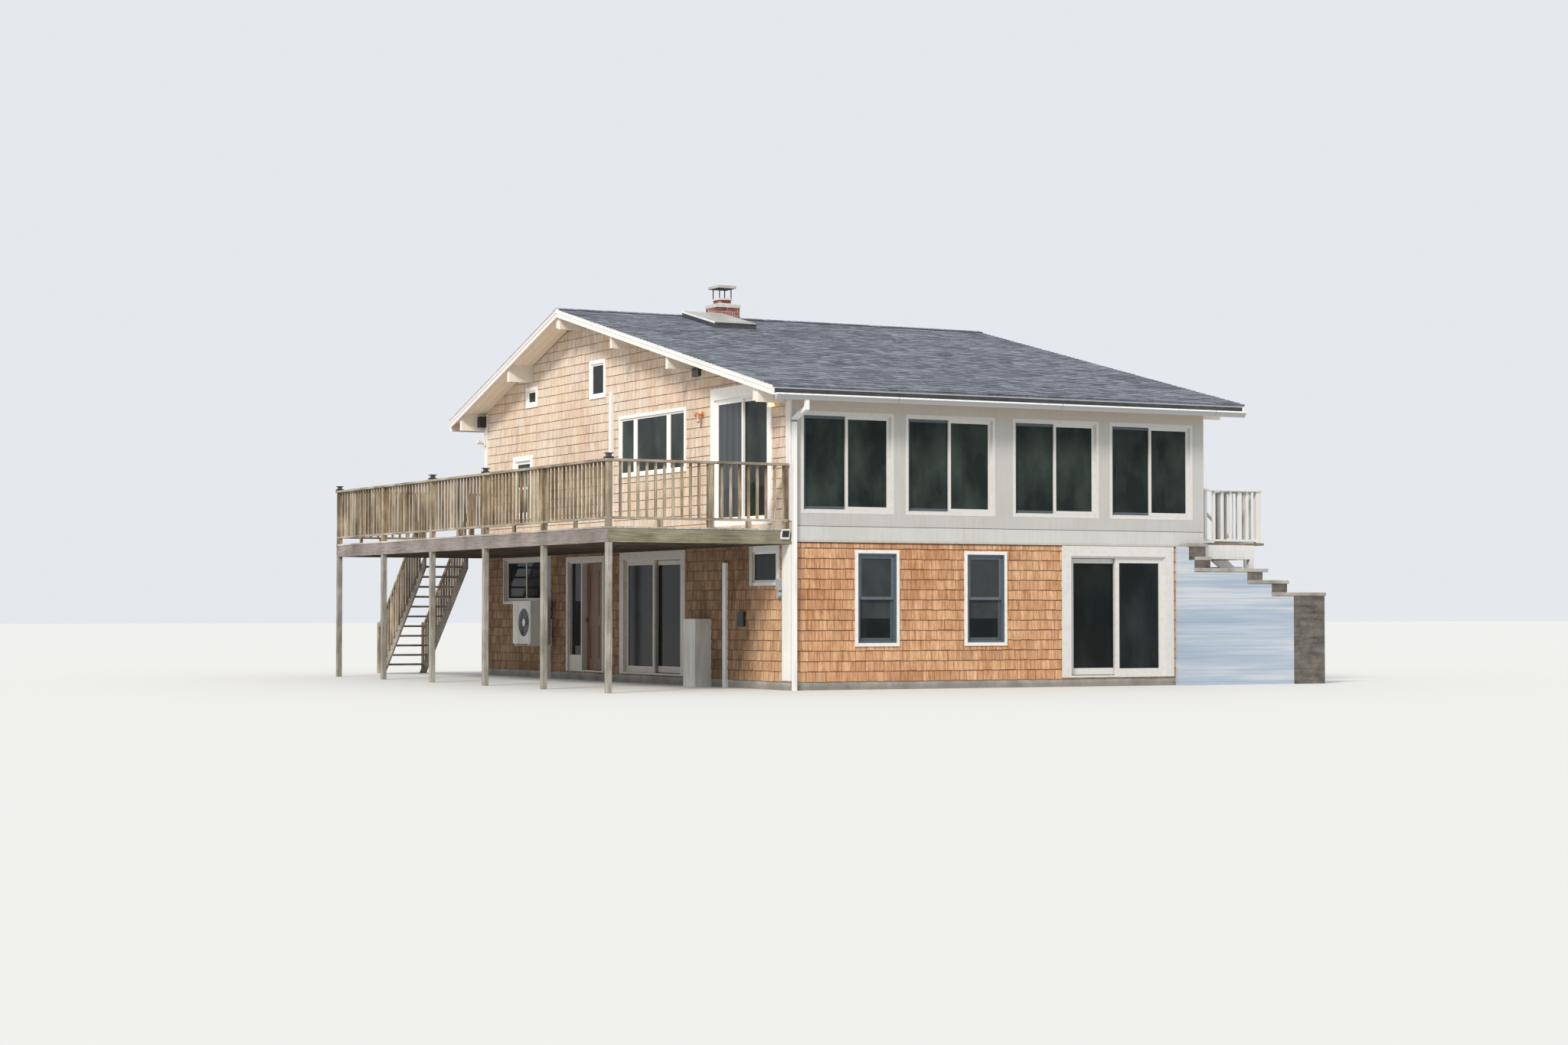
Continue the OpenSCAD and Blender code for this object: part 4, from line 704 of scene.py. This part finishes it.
fascia_paint, place = start_finish("fascia_paint")
front_fascia = solids("eave_fascias")[0]
front_half = 1 - place.axis("Y").over(ridge_y)
drip_edge_h = 0.028
drip = place.axis("Z").over(front_fascia[1].z - drip_edge_h)
black = place.noise(6, 4).spread((0.025, 0.025, 0.03), (0.06, 0.06, 0.065))
front_colour = drip.mix(black, (0.62, 0.63, 0.63))
rear_colour = brushed(place, (0.62, 0.5, 0.45), (0.48, 0.37, 0.33))
close_finish(fascia_paint, front_half.mix(rear_colour, front_colour), 0.5, place.noise(8, 3), 0.001)
coat(fascia_paint, "eave_fascias")

skylight_metal, place = start_finish("skylight_metal")
skylight_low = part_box("skylight_frame")[0]
curb_h = 0.078
above_roof = place.axis("Z") - (place.axis("Y") - ridge_y) * slope_rise["front_roof_tabs"] - ridge_z
flange = above_roof.over(curb_h) * place.axis("Y").over(skylight_low.y + 0.004)
curb_colour = place.noise(8, 3).spread((0.03, 0.032, 0.04), (0.06, 0.063, 0.072))
flange_colour = place.noise(20, 3).spread((0.66, 0.66, 0.65), (0.8, 0.8, 0.79))
close_finish(skylight_metal, flange.mix(curb_colour, flange_colour), 0.42, place.noise(30, 2), 0.0005)
coat(skylight_metal, "skylight_frame")

dome_glass, place = start_finish("dome_glass")
dust = place.noise(5, 5).over(0.5, 0.3)
close_finish(dome_glass, dust.mix((0.3, 0.3, 0.265), (0.4, 0.385, 0.33)), 0.3, place.noise(3, 2), 0.001,
             Specular_IOR_Level=0.3)
coat(dome_glass, "skylight_glass")


# Gutters and downspouts. Folded white enamelled metal, hung on the fascias and strapped to the
# corners, streaked where it has run over, with painted shade on the front gutter below its lip
# and a painted shadow at the foot of each elbow.
white_enamel, place = start_finish("white_enamel")
streak = place.streaks(24, 24, 1.5, 4).over(0.6, 0.2)
cover_colour = (streak * 0.5).mix((0.74, 0.75, 0.74), (0.56, 0.54, 0.49))
close_finish(white_enamel, cover_colour, 0.32, place.noise(5, 2), 0.001)
coat(white_enamel, "line_covers")

gutter_enamel, place = start_finish("gutter_enamel")
front_gutter = solids("gutters")[0]
lip_h = 0.022
gutter_length = 3.05
# Painted shade: the front gutter is grey below its lip; the lip and the back gutter keep the white of the
# enamel.
unshaded_part = place.maths("MAXIMUM", place.axis("Z").over(front_gutter[1].z - lip_h), place.axis("Y").over(ridge_y))
joint = place.axis("X").wave(gutter_length).over(0.99985)
gutter_colour = unshaded_part.mix((0.36, 0.37, 0.37), (0.82, 0.82, 0.8))
streak = place.streaks(24, 24, 1.5, 4).over(0.6, 0.2)
gutter_colour = (streak * 0.35).mix(gutter_colour, (0.4, 0.38, 0.33))
gutter_colour = (joint * 0.6).mix(gutter_colour, (0.2, 0.2, 0.19))
close_finish(gutter_enamel, gutter_colour, 0.32, place.noise(5, 2), 0.001)
coat(gutter_enamel, "gutters")

spout_enamel, place = start_finish("spout_enamel")
streak = place.streaks(20, 20, 1.2, 4).over(0.6, 0.2)
rib_pitch = 0.024
rib = (place.axis("X") + place.axis("Y")).wave(rib_pitch)
spout_colour = (streak * 0.45).mix((0.76, 0.76, 0.74), (0.55, 0.52, 0.47))
elbow_drop, shadow_below, shadow_above = 0.29, 0.02, 0.006
front_elbow_z, back_elbow_z = [high.z - elbow_drop for low, high in solids("downspouts")]
height = place.axis("Z")
behind = place.axis("Y").over(ridge_y)
# A painted shadow darkens a band at the foot of each elbow.
front_shadow = height.between(front_elbow_z - shadow_below, front_elbow_z + shadow_above)
back_shadow = height.between(back_elbow_z - shadow_below, back_elbow_z + shadow_above)
joint_shadow = (front_shadow * (1 - behind) + back_shadow * behind) * 0.9
spout_colour = joint_shadow.mix(spout_colour, (0.09, 0.08, 0.07))
close_finish(spout_enamel, spout_colour, 0.32, rib, 0.0008)
coat(spout_enamel, "downspouts")


# Windows and doors. White and grey-blue extruded frames hold two sashes in two planes, with dark
# insulating glass; the doors slide in the same frames or swing under the deck.
def framing(place, colour, worn):
    """Smooth extruded frame with a little chalking and dust in its corners."""
    dust = place.noise(14, 5).over(0.56, 0.25)
    return (dust * 0.4).mix(colour, worn)


def plain_frame(name, colour, worn):
    """A finish of one colour of framing all over."""
    finish, place = start_finish(name)
    return close_finish(finish, framing(place, colour, worn), 0.38, place.noise(40, 2), 0.0004)


coat(plain_frame("white_frame", (0.76, 0.75, 0.72), (0.64, 0.62, 0.58)), "rear_windows")
# Painted light: the deck-side upper window frames are a brighter copy of the white frame, lit against the
# shade of the eave.
coat(plain_frame("lit_gable_frame", (0.9, 0.88, 0.85), (0.76, 0.72, 0.67)), "deck_side_upper_windows")
coat(plain_frame("front_door_frame", (0.6, 0.59, 0.565), (0.5, 0.485, 0.45)),
     "front_door_frame", "front_door_slider")

shade_painted_frame, place = start_finish("shade_painted_frame")
# Painted shade: under the deck the frames are a darker, browner copy, and near the front corner a clean lit
# copy; framing() adds dust to both.
dusty = framing(place, (0.5, 0.47, 0.42), (0.36, 0.33, 0.28))
lit_clean = framing(place, (0.74, 0.74, 0.73), (0.6, 0.58, 0.54))
frame_shade_edge = -5.2
near_corner = 1 - place.axis("Y").over(frame_shade_edge)
close_finish(shade_painted_frame, near_corner.mix(dusty, lit_clean), 0.42, place.noise(40, 2), 0.0004)
coat(shade_painted_frame, "deck_side_lower_windows", "side_door_frame", "side_door_slider")

front_y = slab_low.y
lower_frame, place = start_finish("lower_window_frame")
white_edge = 0.052
sash_set_back = 0.022
edging = 1 - place.axis("Y").over(front_y - 0.0015)
for low, high in solids("front_lower_windows"):
    across = place.axis("X").between(low.x + white_edge, high.x - white_edge)
    up = place.axis("Z").between(low.z + white_edge, high.z - white_edge)
    edging = place.maths("MAXIMUM", edging - across * up, 0)
blue_grey = framing(place, (0.085, 0.112, 0.135), (0.06, 0.078, 0.092))
inner = place.axis("Y").over(front_y + sash_set_back)
blue_grey = (inner * 0.4).mix(blue_grey, (0.03, 0.037, 0.043))
white_edging = framing(place, (0.72, 0.7, 0.66), (0.58, 0.54, 0.48))
close_finish(lower_frame, edging.mix(blue_grey, white_edging), 0.4, place.noise(40, 2), 0.0004)
coat(lower_frame, "front_lower_windows")

upper_frame, place = start_finish("upper_window_frame")
rear_track = 0.04
rear_sash = place.axis("Y").over(front_y + rear_track)
warm_grey = framing(place, (0.59, 0.58, 0.55), (0.5, 0.485, 0.45))
slate_blue = framing(place, (0.065, 0.085, 0.1), (0.045, 0.06, 0.07))
close_finish(upper_frame, rear_sash.mix(warm_grey, slate_blue), 0.4, place.noise(40, 2), 0.0004)
coat(upper_frame, "front_upper_windows")


def pane(name, dark, pale, blind_foot=None, sky_reflection_span=None):
    """Dark insulating glass with soft upright streaks of painted reflection, a drawn blind behind the
    front panes, and a painted sky reflection on one leaf on the deck side."""
    finish, place = start_finish(name)
    # Soft upright streaks of painted reflection in the glass.
    reflection_streaks = place.streaks(1.7, 1.7, 0.9, 5)
    depth = ((reflection_streaks - 0.5) * 2.2 + 0.4).ramp((0.2, dark), (0.8, pale))
    if blind_foot is not None:
        front_panes = 1 - place.axis("Y").over(front_y + wall_depth)
        front_panes = front_panes * (1 - place.axis("X").over(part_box("front_door_frame")[0].x))
        blind = place.axis("Z").over(blind_foot, 0.01) * front_panes
        depth = blind.mix(depth, place.noise(3, 3).spread((0.032, 0.036, 0.037), (0.048, 0.053, 0.054)))
    if sky_reflection_span is not None:
        leaf = place.axis("Y").between(*sky_reflection_span) * (1 - place.axis("X").over(slab_low.x + wall_depth))
        # A painted sky reflection on one leaf of the patio door.
        sky_light = place.streaks(9, 9, 0.3, 3)
        depth = leaf.mix(depth, sky_light.spread((0.05, 0.057, 0.062), (0.085, 0.094, 0.1)))
    close_finish(finish, depth, 0.05, Alpha=0.96, Specular_IOR_Level=0.25, IOR=1.3)
    finish.surface_render_method = "DITHERED"
    return finish


wall_depth = 0.2
uncovered = 0.29
hung_low, hung_high = solids("front_lower_windows")[0]
blind_foot = hung_low.z + uncovered * (hung_high.z - hung_low.z)
patio_low, patio_high = solids("deck_side_upper_windows")[0]
patio_reflection_span = ((patio_low.y + patio_high.y) / 2, patio_high.y)
coat(pane("upper_pane", (0.012, 0.017, 0.016), (0.04, 0.055, 0.046), sky_reflection_span=patio_reflection_span), "upper_glass")
coat(pane("lower_pane", (0.008, 0.01, 0.011), (0.022, 0.027, 0.029), blind_foot), "lower_glass")
coat(pane("slider_pane", (0.006, 0.008, 0.008), (0.016, 0.02, 0.018)),
     "front_slider_glass", "side_slider_glass")

door_wood, place = start_finish("stained_door")
grain = place.streaks(40, 40, 2.5, 4)
close_finish(door_wood, grain.spread((0.09, 0.045, 0.022), (0.2, 0.1, 0.05)), 0.45, grain, 0.002)
coat(door_wood, "entry_door_leaf")


# Deck. Weathered boards on joists and square posts, with a cap and square balusters round it:
# brown-grey, greenish where it stays damp, with dark checks along the grain. Black lamp caps stand
# on four posts, and boards are nailed down with narrow gaps between them.
def timber(place, along, dark, middle, pale):
    """Bare timber gone grey, with checks and stains drawn out along the grain, as colour and
    relief."""
    grain = place.streaks(*[3 if letter in along else 60 for letter in "XYZ"], 5)
    check = place.streaks(*[1.5 if letter in along else 95 for letter in "XYZ"], 2).over(0.66, 0.08)
    cloud = place.noise(1.8, 4)
    value = grain * 0.8 + cloud * 0.9 - 0.35
    colour = value.ramp((0.25, dark), (0.5, middle), (0.75, pale))
    return (check * 0.7).mix(colour, dark), grain - check


post_wood, place = start_finish("post_timber")
near_colour = timber(place, "Z", (0.16, 0.14, 0.1), (0.3, 0.27, 0.2), (0.44, 0.4, 0.31))[0]
pale_colour, relief = timber(place, "Z", (0.15, 0.135, 0.11), (0.27, 0.25, 0.215), (0.42, 0.4, 0.355))
post_colour = (1 - place.axis("Z").over(rim_low.z)).mix(near_colour, pale_colour)
close_finish(post_wood, post_colour, 0.9, relief, 0.003)
add_eased(post_wood, "weathered_wood", "deck_posts", ease=0.006)

rail_wood, place = start_finish("rail_timber")
fresh_colour = timber(place, "Z", (0.04, 0.025, 0.012), (0.15, 0.1, 0.055), (0.31, 0.225, 0.13))[0]
grey_colour, relief = timber(place, "Z", (0.15, 0.12, 0.08), (0.31, 0.255, 0.175), (0.52, 0.45, 0.34))
each_baluster = place.streaks(13, 13, 0.4, 2)
rail_colour = each_baluster.over(0.5, 0.22).mix(fresh_colour, grey_colour)
level_colour, level_relief = timber(place, "XY", (0.13, 0.105, 0.08), (0.29, 0.25, 0.19),
                                    (0.46, 0.41, 0.33))
rail_low, rail_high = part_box("deck_railing_side")
rail_board = 0.038
foot_gap = 0.11
foot_rail_z = rail_low.z + foot_gap
height = place.axis("Z")
level = height.over(rail_high.z - rail_board) + height.between(foot_rail_z, foot_rail_z + rail_board)
level = level * (1 - place.axis("Y").over(rail_high.y + 0.001))
relief = relief * (1 - level) + level_relief * level
close_finish(rail_wood, level.mix(rail_colour, level_colour), 0.9, relief, 0.003)
add_eased(rail_wood, "weathered_wood", "deck_railing_side", "deck_railing_ends",
          "deck_stair_railings", ease=0.0035)

rim_wood, place = start_finish("rim_timber")
# Painted shade: the joists and other faces under the deck are a much darker copy of the timber.
shaded_joist_colour = timber(place, "X", (0.04, 0.03, 0.022), (0.09, 0.068, 0.05), (0.16, 0.125, 0.095))[0]
green_colour, relief = timber(place, "X", (0.1, 0.09, 0.055), (0.19, 0.175, 0.115), (0.29, 0.27, 0.19))
pink_colour = timber(place, "Y", (0.13, 0.108, 0.095), (0.215, 0.183, 0.167), (0.31, 0.27, 0.25))[0]
rim_skin = 0.012
front_face = 1 - place.axis("Y").over(rim_low.y + rim_skin)
side_face = 1 - place.axis("X").over(rim_low.x + rim_skin)
rim_colour = side_face.mix(front_face.mix(shaded_joist_colour, green_colour), pink_colour)
close_finish(rim_wood, rim_colour, 0.9, relief, 0.003)
coat(rim_wood, "deck_frame")

stair_wood, place = start_finish("stair_timber")
stair_colour, relief = timber(place, "Y", (0.12, 0.1, 0.08), (0.28, 0.25, 0.21), (0.44, 0.41, 0.36))
close_finish(stair_wood, stair_colour, 0.9, relief, 0.003)
add_eased(stair_wood, "weathered_wood", "deck_stair_stringers", "deck_stair_treads")

board_wood, place = start_finish("board_timber")
board_colour, relief = timber(place, "Y", (0.2, 0.175, 0.15), (0.38, 0.345, 0.3), (0.54, 0.5, 0.45))
close_finish(board_wood, (place.tone() * 0.4 + 0.8).shade(board_colour), 0.9, relief, 0.003)
floor_low, floor_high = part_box("deck_boards")
board_count = 22
board_gap = 0.005
end_gap = 0.003
board_pitch = (floor_high.x - floor_low.x + board_gap) / board_count
joist_pitch = 0.4
board_dice = random.Random(41)
boards = bmesh.new()
board_tone = boards.faces.layers.float.new("tone")
for n in range(board_count):
    x = floor_low.x + n * board_pitch
    ends = [floor_low.y, floor_low.y + joist_pitch * board_dice.randint(6, 14),
            floor_low.y + joist_pitch * board_dice.randint(17, 25), floor_high.y]
    for start, end in zip(ends, ends[1:]):
        shade = board_dice.random()
        corners = add_block(boards, (x, start + end_gap / 2, floor_low.z),
                            (x + board_pitch - board_gap, end - end_gap / 2, floor_high.z))
        for face in faces_at(corners):
            face[board_tone] = shade
ease_edges(boards, boards.edges[:], 0.003)
add_piece("deck_floor_boards", boards, board_wood, "house", "weathered_wood", "deck_boards")

cap_enamel, place = start_finish("cap_enamel")
rail_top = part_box("post_caps")[0].z
lens_low, lens_high = 0.032, 0.073
lens = place.axis("Z").between(rail_top + lens_low, rail_top + lens_high)
cap_colour = place.noise(30, 3).spread((0.008, 0.008, 0.009), (0.02, 0.02, 0.022))
close_finish(cap_enamel, lens.mix(cap_colour, (0.09, 0.1, 0.105)), 0.55, place.noise(40, 2), 0.0004)
coat(cap_enamel, "post_caps")


# Landing and its stair. The same timber with brown boards on top; the skirt, posts, rails and
# stair are painted white, in a greyer white as painted shade, and worn on their edges.
landing_paint, place = start_finish("landing_paint")
landing_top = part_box("landing_platform")[1].z
board_t = 0.041
brown_colour = timber(place, "Y", (0.09, 0.065, 0.045), (0.2, 0.155, 0.115), (0.33, 0.27, 0.21))[0]
# Painted shade: the landing's white is a greyer copy of the white paint, for the shade it stands in.
shaded_skirt_colour = brushed(place, (0.64, 0.64, 0.62), (0.5, 0.49, 0.47))
landing_colour = place.axis("Z").over(landing_top - board_t).mix(shaded_skirt_colour, brown_colour)
close_finish(landing_paint, landing_colour, 0.6, place.noise(3, 3), 0.001)
coat(landing_paint, "landing_platform")
shaded_landing_white = paint("shaded_landing_white", (0.64, 0.64, 0.62), (0.5, 0.49, 0.46))
add_eased(shaded_landing_white, "white_paint", "landing_posts", "landing_railings", "landing_stair")


# Masonry. A stepped wall under the landing, brushed with a pale blue and white wash as far as its
# steps, with grey cap slabs, and a red brick chimney with a cement crown and a rain slab.
wall_wash, place = start_finish("wall_wash")
brush = place.streaks(0.8, 0.8, 22, 4)
drift = place.streaks(0.25, 0.25, 3.4, 2)
stone_h = 0.2
joint = place.axis("Z").wave(stone_h).over(0.99, 0.015)
height = place.axis("Z") + (place.noise(3, 2) - 0.5) * 0.04
wash_end = 3.49
wash_steps = ((2.09, 0.114), (1.9, 1.09), (1.705, 0.512), (1.5, 0.464))
limit = wash_end + sum((1 - height.over(step_z)) * step_w for step_z, step_w in wash_steps)
# Beyond the steps of the wash the wall is coloured dark grey.
past_wash = (place.axis("X") - limit).over(0)
wash = (brush * 0.7 + drift * 1.1 - 0.4).ramp((0.3, (0.3, 0.37, 0.46)), (0.5, (0.38, 0.44, 0.515)),
                                              (0.7, (0.5, 0.53, 0.56)))
layer = place.streaks(2, 2, 14, 4)
stone = (layer * 0.6 + place.noise(7, 5) * 0.6 - 0.1).spread((0.045, 0.04, 0.034), (0.17, 0.152, 0.13))
wash = (joint * 0.25).mix(wash, (0.22, 0.26, 0.31))
close_finish(wall_wash, past_wash.mix(wash, stone), 0.85, place.noise(120, 3) + brush - joint, 0.002)
coat(wall_wash, "stepped_wall")

cap_stone = cast("cap_stone", (0.2, 0.185, 0.165), (0.42, 0.4, 0.36))
add_piece("eased_wall_caps", eased_copy("stepped_wall_caps", ease=0.008), cap_stone, "house",
          "concrete", "stepped_wall_caps")


def brick_of(place):
    """Red brick with burnt and pale patches, as its colour and relief."""
    cloud = place.noise(7, 4)
    burn = place.noise(26, 3).over(0.6, 0.1)
    red = cloud.spread((0.17, 0.055, 0.04), (0.32, 0.125, 0.09))
    return (burn * 0.5).mix(red, (0.11, 0.055, 0.05)), cloud


stack_low, stack_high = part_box("chimney_stack")
mortar, place = start_finish("lime_mortar")
grit = place.noise(110, 3)
close_finish(mortar, place.noise(6, 4).spread((0.36, 0.33, 0.3), (0.56, 0.53, 0.49)), 0.95, grit, 0.002)
coat(mortar, "chimney_stack")

red_brick, place = start_finish("red_brick")
brick_colour, relief = brick_of(place)
brick_colour = (place.tone() * 0.7 + 0.65).shade(brick_colour)
close_finish(red_brick, brick_colour, 0.9, relief + place.noise(90, 3), 0.003)
brick_l, brick_w, brick_h, mortar_gap, least_brick = 0.215, 0.1025, 0.065, 0.01, 0.02
brick_dice = random.Random(51)
bricks = bmesh.new()
brick_tone = bricks.faces.layers.float.new("tone")
proud, under_roof, crown_bed = 0.004, 0.08, 0.003
roof_at_stack = ridge_z - (stack_high.y - ridge_y) * slope_rise["back_roof_tabs"] - under_roof
for n in range(math.ceil((stack_high.z - roof_at_stack) / (brick_h + mortar_gap))):
    top = stack_high.z - crown_bed - n * (brick_h + mortar_gap)
    through = n % 2
    for axis in (0, 1):
        along_low, along_high = stack_low[axis] - proud, stack_high[axis] + proud
        if through != axis:
            along_low += brick_w + mortar_gap
            along_high -= brick_w + mortar_gap
        for side in (0, 1):
            at = along_low
            while at < along_high - least_brick:
                end = min(at + brick_l, along_high)
                low, high = Vector((0, 0, top - brick_h)), Vector((0, 0, top))
                low[axis], high[axis] = at, end
                other = 1 - axis
                low[other] = stack_low[other] - proud if side == 0 else stack_high[other] + proud - brick_w
                high[other] = low[other] + brick_w
                shade = brick_dice.random()
                for face in faces_at(add_block(bricks, low, high)):
                    face[brick_tone] = shade
                at = end + mortar_gap
ease_edges(bricks, bricks.edges[:], 0.003)
add_piece("stack_bricks", bricks, red_brick, "house", "brick")

crown, place = start_finish("chimney_crown")
above = place.axis("Z") - stack_high.z
collar_low, collar_high, rim_high, slab_foot = 0.092, 0.15, 0.186, 0.371
collar_colour = brick_of(place)[0]
collar_joint = (place.axis("X") + place.axis("Y")).wave(brick_l + mortar_gap).over(0.985, 0.01)
collar_colour = collar_joint.mix(collar_colour, (0.5, 0.47, 0.43))
cement = place.noise(7, 4).spread((0.44, 0.42, 0.39), (0.68, 0.66, 0.62))
crown_colour = above.between(collar_low, collar_high).mix(cement, collar_colour)
crown_colour = above.between(rim_high, slab_foot).mix(crown_colour, (0.06, 0.058, 0.055))
slab_colour = place.noise(5, 4).spread((0.36, 0.34, 0.3), (0.55, 0.53, 0.48))
crown_colour = above.over(slab_foot).mix(crown_colour, slab_colour)
close_finish(crown, crown_colour, 0.9, place.noise(60, 4), 0.003)
coat(crown, "chimney_top")


# Fixtures. On the deck side hang a copper lantern, floodlights, a loudspeaker, a vent hood, a solar
# lamp, a meter and cable boxes, each screwed on through its back plate.
def fixture(name, index, finish, ease=0.002):
    """One solid of the wall fixtures as a piece of its own."""
    add_piece(name, eased_copy("wall_fixtures", [index], ease), finish, "house", "dark_metal",
              "wall_fixtures")


def enamel(name, dark, pale, rough=0.4, **constants):
    """Cast or moulded enamel, a little dusty."""
    finish, place = start_finish(name)
    dusty = place.noise(24, 4).ramp((0.35, dark), (0.7, pale))
    return close_finish(finish, dusty, rough, place.noise(60, 2), 0.0004, **constants)


white_lamp = enamel("white_lamp", (0.62, 0.62, 0.6), (0.76, 0.76, 0.74))
# The nine fixtures, in the order in which solids() and eased_copy() count them.
back_light, solar_light, speaker, front_light, lantern_at, meter, conduit_box, cable_box, vent = range(9)
lit_lamp, place = start_finish("lit_lamp")
bulb_low, bulb_high = solids("wall_fixtures")[front_light]
bulb_share = 0.45
bulb_top = bulb_low.z + bulb_share * (bulb_high.z - bulb_low.z)
bulb = (1 - place.axis("Z").over(bulb_top, 0.02)) * place.noise(20, 2).fade(0.9, 1.1)
close_finish(lit_lamp, bulb.mix((0.72, 0.72, 0.7), (0.9, 0.78, 0.6)), 0.35, Emission_Strength=1.0,
             Emission_Color=bulb.mix((0, 0, 0), (1.0, 0.62, 0.3)))
black_case = enamel("black_case", (0.012, 0.012, 0.014), (0.035, 0.035, 0.038), 0.5)
grey_case = enamel("grey_case", (0.22, 0.24, 0.26), (0.36, 0.38, 0.4))
hood_metal = enamel("hood_metal", (0.018, 0.016, 0.015), (0.05, 0.046, 0.042))
fixture("back_floodlight", back_light, white_lamp)
fixture("front_floodlight", front_light, lit_lamp)
fixture("loudspeaker", speaker, black_case, 0.006)
fixture("cable_box", cable_box, black_case, 0.004)
fixture("vent_hood", vent, hood_metal)
fixture("meter", meter, grey_case, 0.006)
fixture("conduit_box", conduit_box, grey_case)

solar, place = start_finish("solar_lamp_case")
lamp_low, lamp_high = solids("wall_fixtures")[solar_light]
cell_edge = 0.014
rim_x = place.axis("X").between(lamp_low.x + cell_edge, lamp_high.x - cell_edge)
rim_z = place.axis("Z").between(lamp_low.z + 0.03, lamp_high.z - 0.022)
cell_pitch = 0.02
cell = place.axis("X").wave(cell_pitch).over(0.9, 0.1) * 0.3
cell_colour = cell.mix((0.012, 0.014, 0.02), (0.06, 0.07, 0.09))
solar_colour = (rim_x * rim_z).mix((0.7, 0.7, 0.68), cell_colour)
close_finish(solar, solar_colour, 0.3, place.noise(50, 2), 0.0003)
fixture("solar_lamp", solar_light, solar)

copper, place = start_finish("lantern_copper")
lantern_z = solids("wall_fixtures")[lantern_at][0].z
ring_h, glass_low, glass_high = 0.012, 0.014, 0.064
tarnish = place.noise(38, 4)
metal_colour = tarnish.spread((0.3, 0.11, 0.04), (0.62, 0.26, 0.1))
shade_glass = place.axis("Z").between(lantern_z + glass_low, lantern_z + glass_high)
dark_ring = 1 - place.axis("Z").over(lantern_z + ring_h)
lantern_colour = dark_ring.mix(shade_glass.mix(metal_colour, (0.66, 0.6, 0.52)), (0.12, 0.06, 0.04))
close_finish(copper, lantern_colour, 0.35, tarnish, 0.0006)
fixture("wall_lantern", lantern_at, copper, 0.0015)


# Heat pump and cabinet. Pressed white casings: the heat pump stands on two wall brackets, with a
# wire guard in front of its fan, and the low cabinet beside it has a sunk door.
casing, place = start_finish("plant_casing")
unit_low, unit_high = solids("outdoor_units")[0]
fan_in, fan_down, fan_r, hub_r, well_depth = 0.53, 0.395, 0.26, 0.069, 0.06
fan_y = unit_high.y - fan_in
fan_z = unit_high.z - fan_down
off_y = place.axis("Y") - fan_y
off_z = place.axis("Z") - fan_z
from_hub = place.maths("SQRT", off_y * off_y + off_z * off_z)
well = (1 - from_hub.over(fan_r - 0.001)) * place.axis("X").over(unit_low.x + 0.002)
well = well * (1 - place.axis("X").over(unit_low.x + well_depth))
blade = place.maths("ARCTAN2", off_z, off_y) * 5 + from_hub * 14
well_colour = place.maths("SINE", blade).over(0, 0.3).mix((0.02, 0.022, 0.024), (0.075, 0.08, 0.085))
hub = 1 - from_hub.over(hub_r)
well_colour = hub.mix(well_colour, (0.1, 0.105, 0.11))
grime = place.streaks(6, 6, 1, 4).over(0.55, 0.2)
casing_colour = (grime * 0.5).mix((0.6, 0.6, 0.57), (0.42, 0.4, 0.35))
close_finish(casing, well.mix(casing_colour, well_colour), 0.45, place.noise(20, 2), 0.0005)
coat(casing, "outdoor_units")

guard = bmesh.new()
wire_r, spoke_in, spoke_out = 0.003, 0.06, 0.256
ring_x = unit_low.x + 0.004
spoke_x = unit_low.x + 0.009
for ring_r in (0.08, 0.125, 0.17, 0.215, 0.254):
    wire = bmesh.ops.create_circle(guard, segments=6, radius=wire_r, cap_ends=False,
                                   matrix=Matrix.Translation((ring_x, fan_y + ring_r, fan_z)))
    section = wire["verts"] + list({edge for corner in wire["verts"] for edge in corner.link_edges})
    bmesh.ops.spin(guard, geom=section, cent=(ring_x, fan_y, fan_z), axis=(1, 0, 0), dvec=(0, 0, 0),
                   angle=2 * math.pi, steps=40, use_merge=True, use_normal_flip=False,
                   use_duplicate=False)
for n in range(8):
    turn = Matrix.Translation((spoke_x, fan_y, fan_z)) @ Matrix.Rotation(n * math.pi / 4, 4, "X")
    add_block(guard, (-wire_r, spoke_in, -wire_r), (wire_r, spoke_out, wire_r), turn)
bmesh.ops.recalc_face_normals(guard, faces=guard.faces)
add_piece("fan_guard", guard, grey_case, "house", "dark_metal")


low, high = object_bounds()
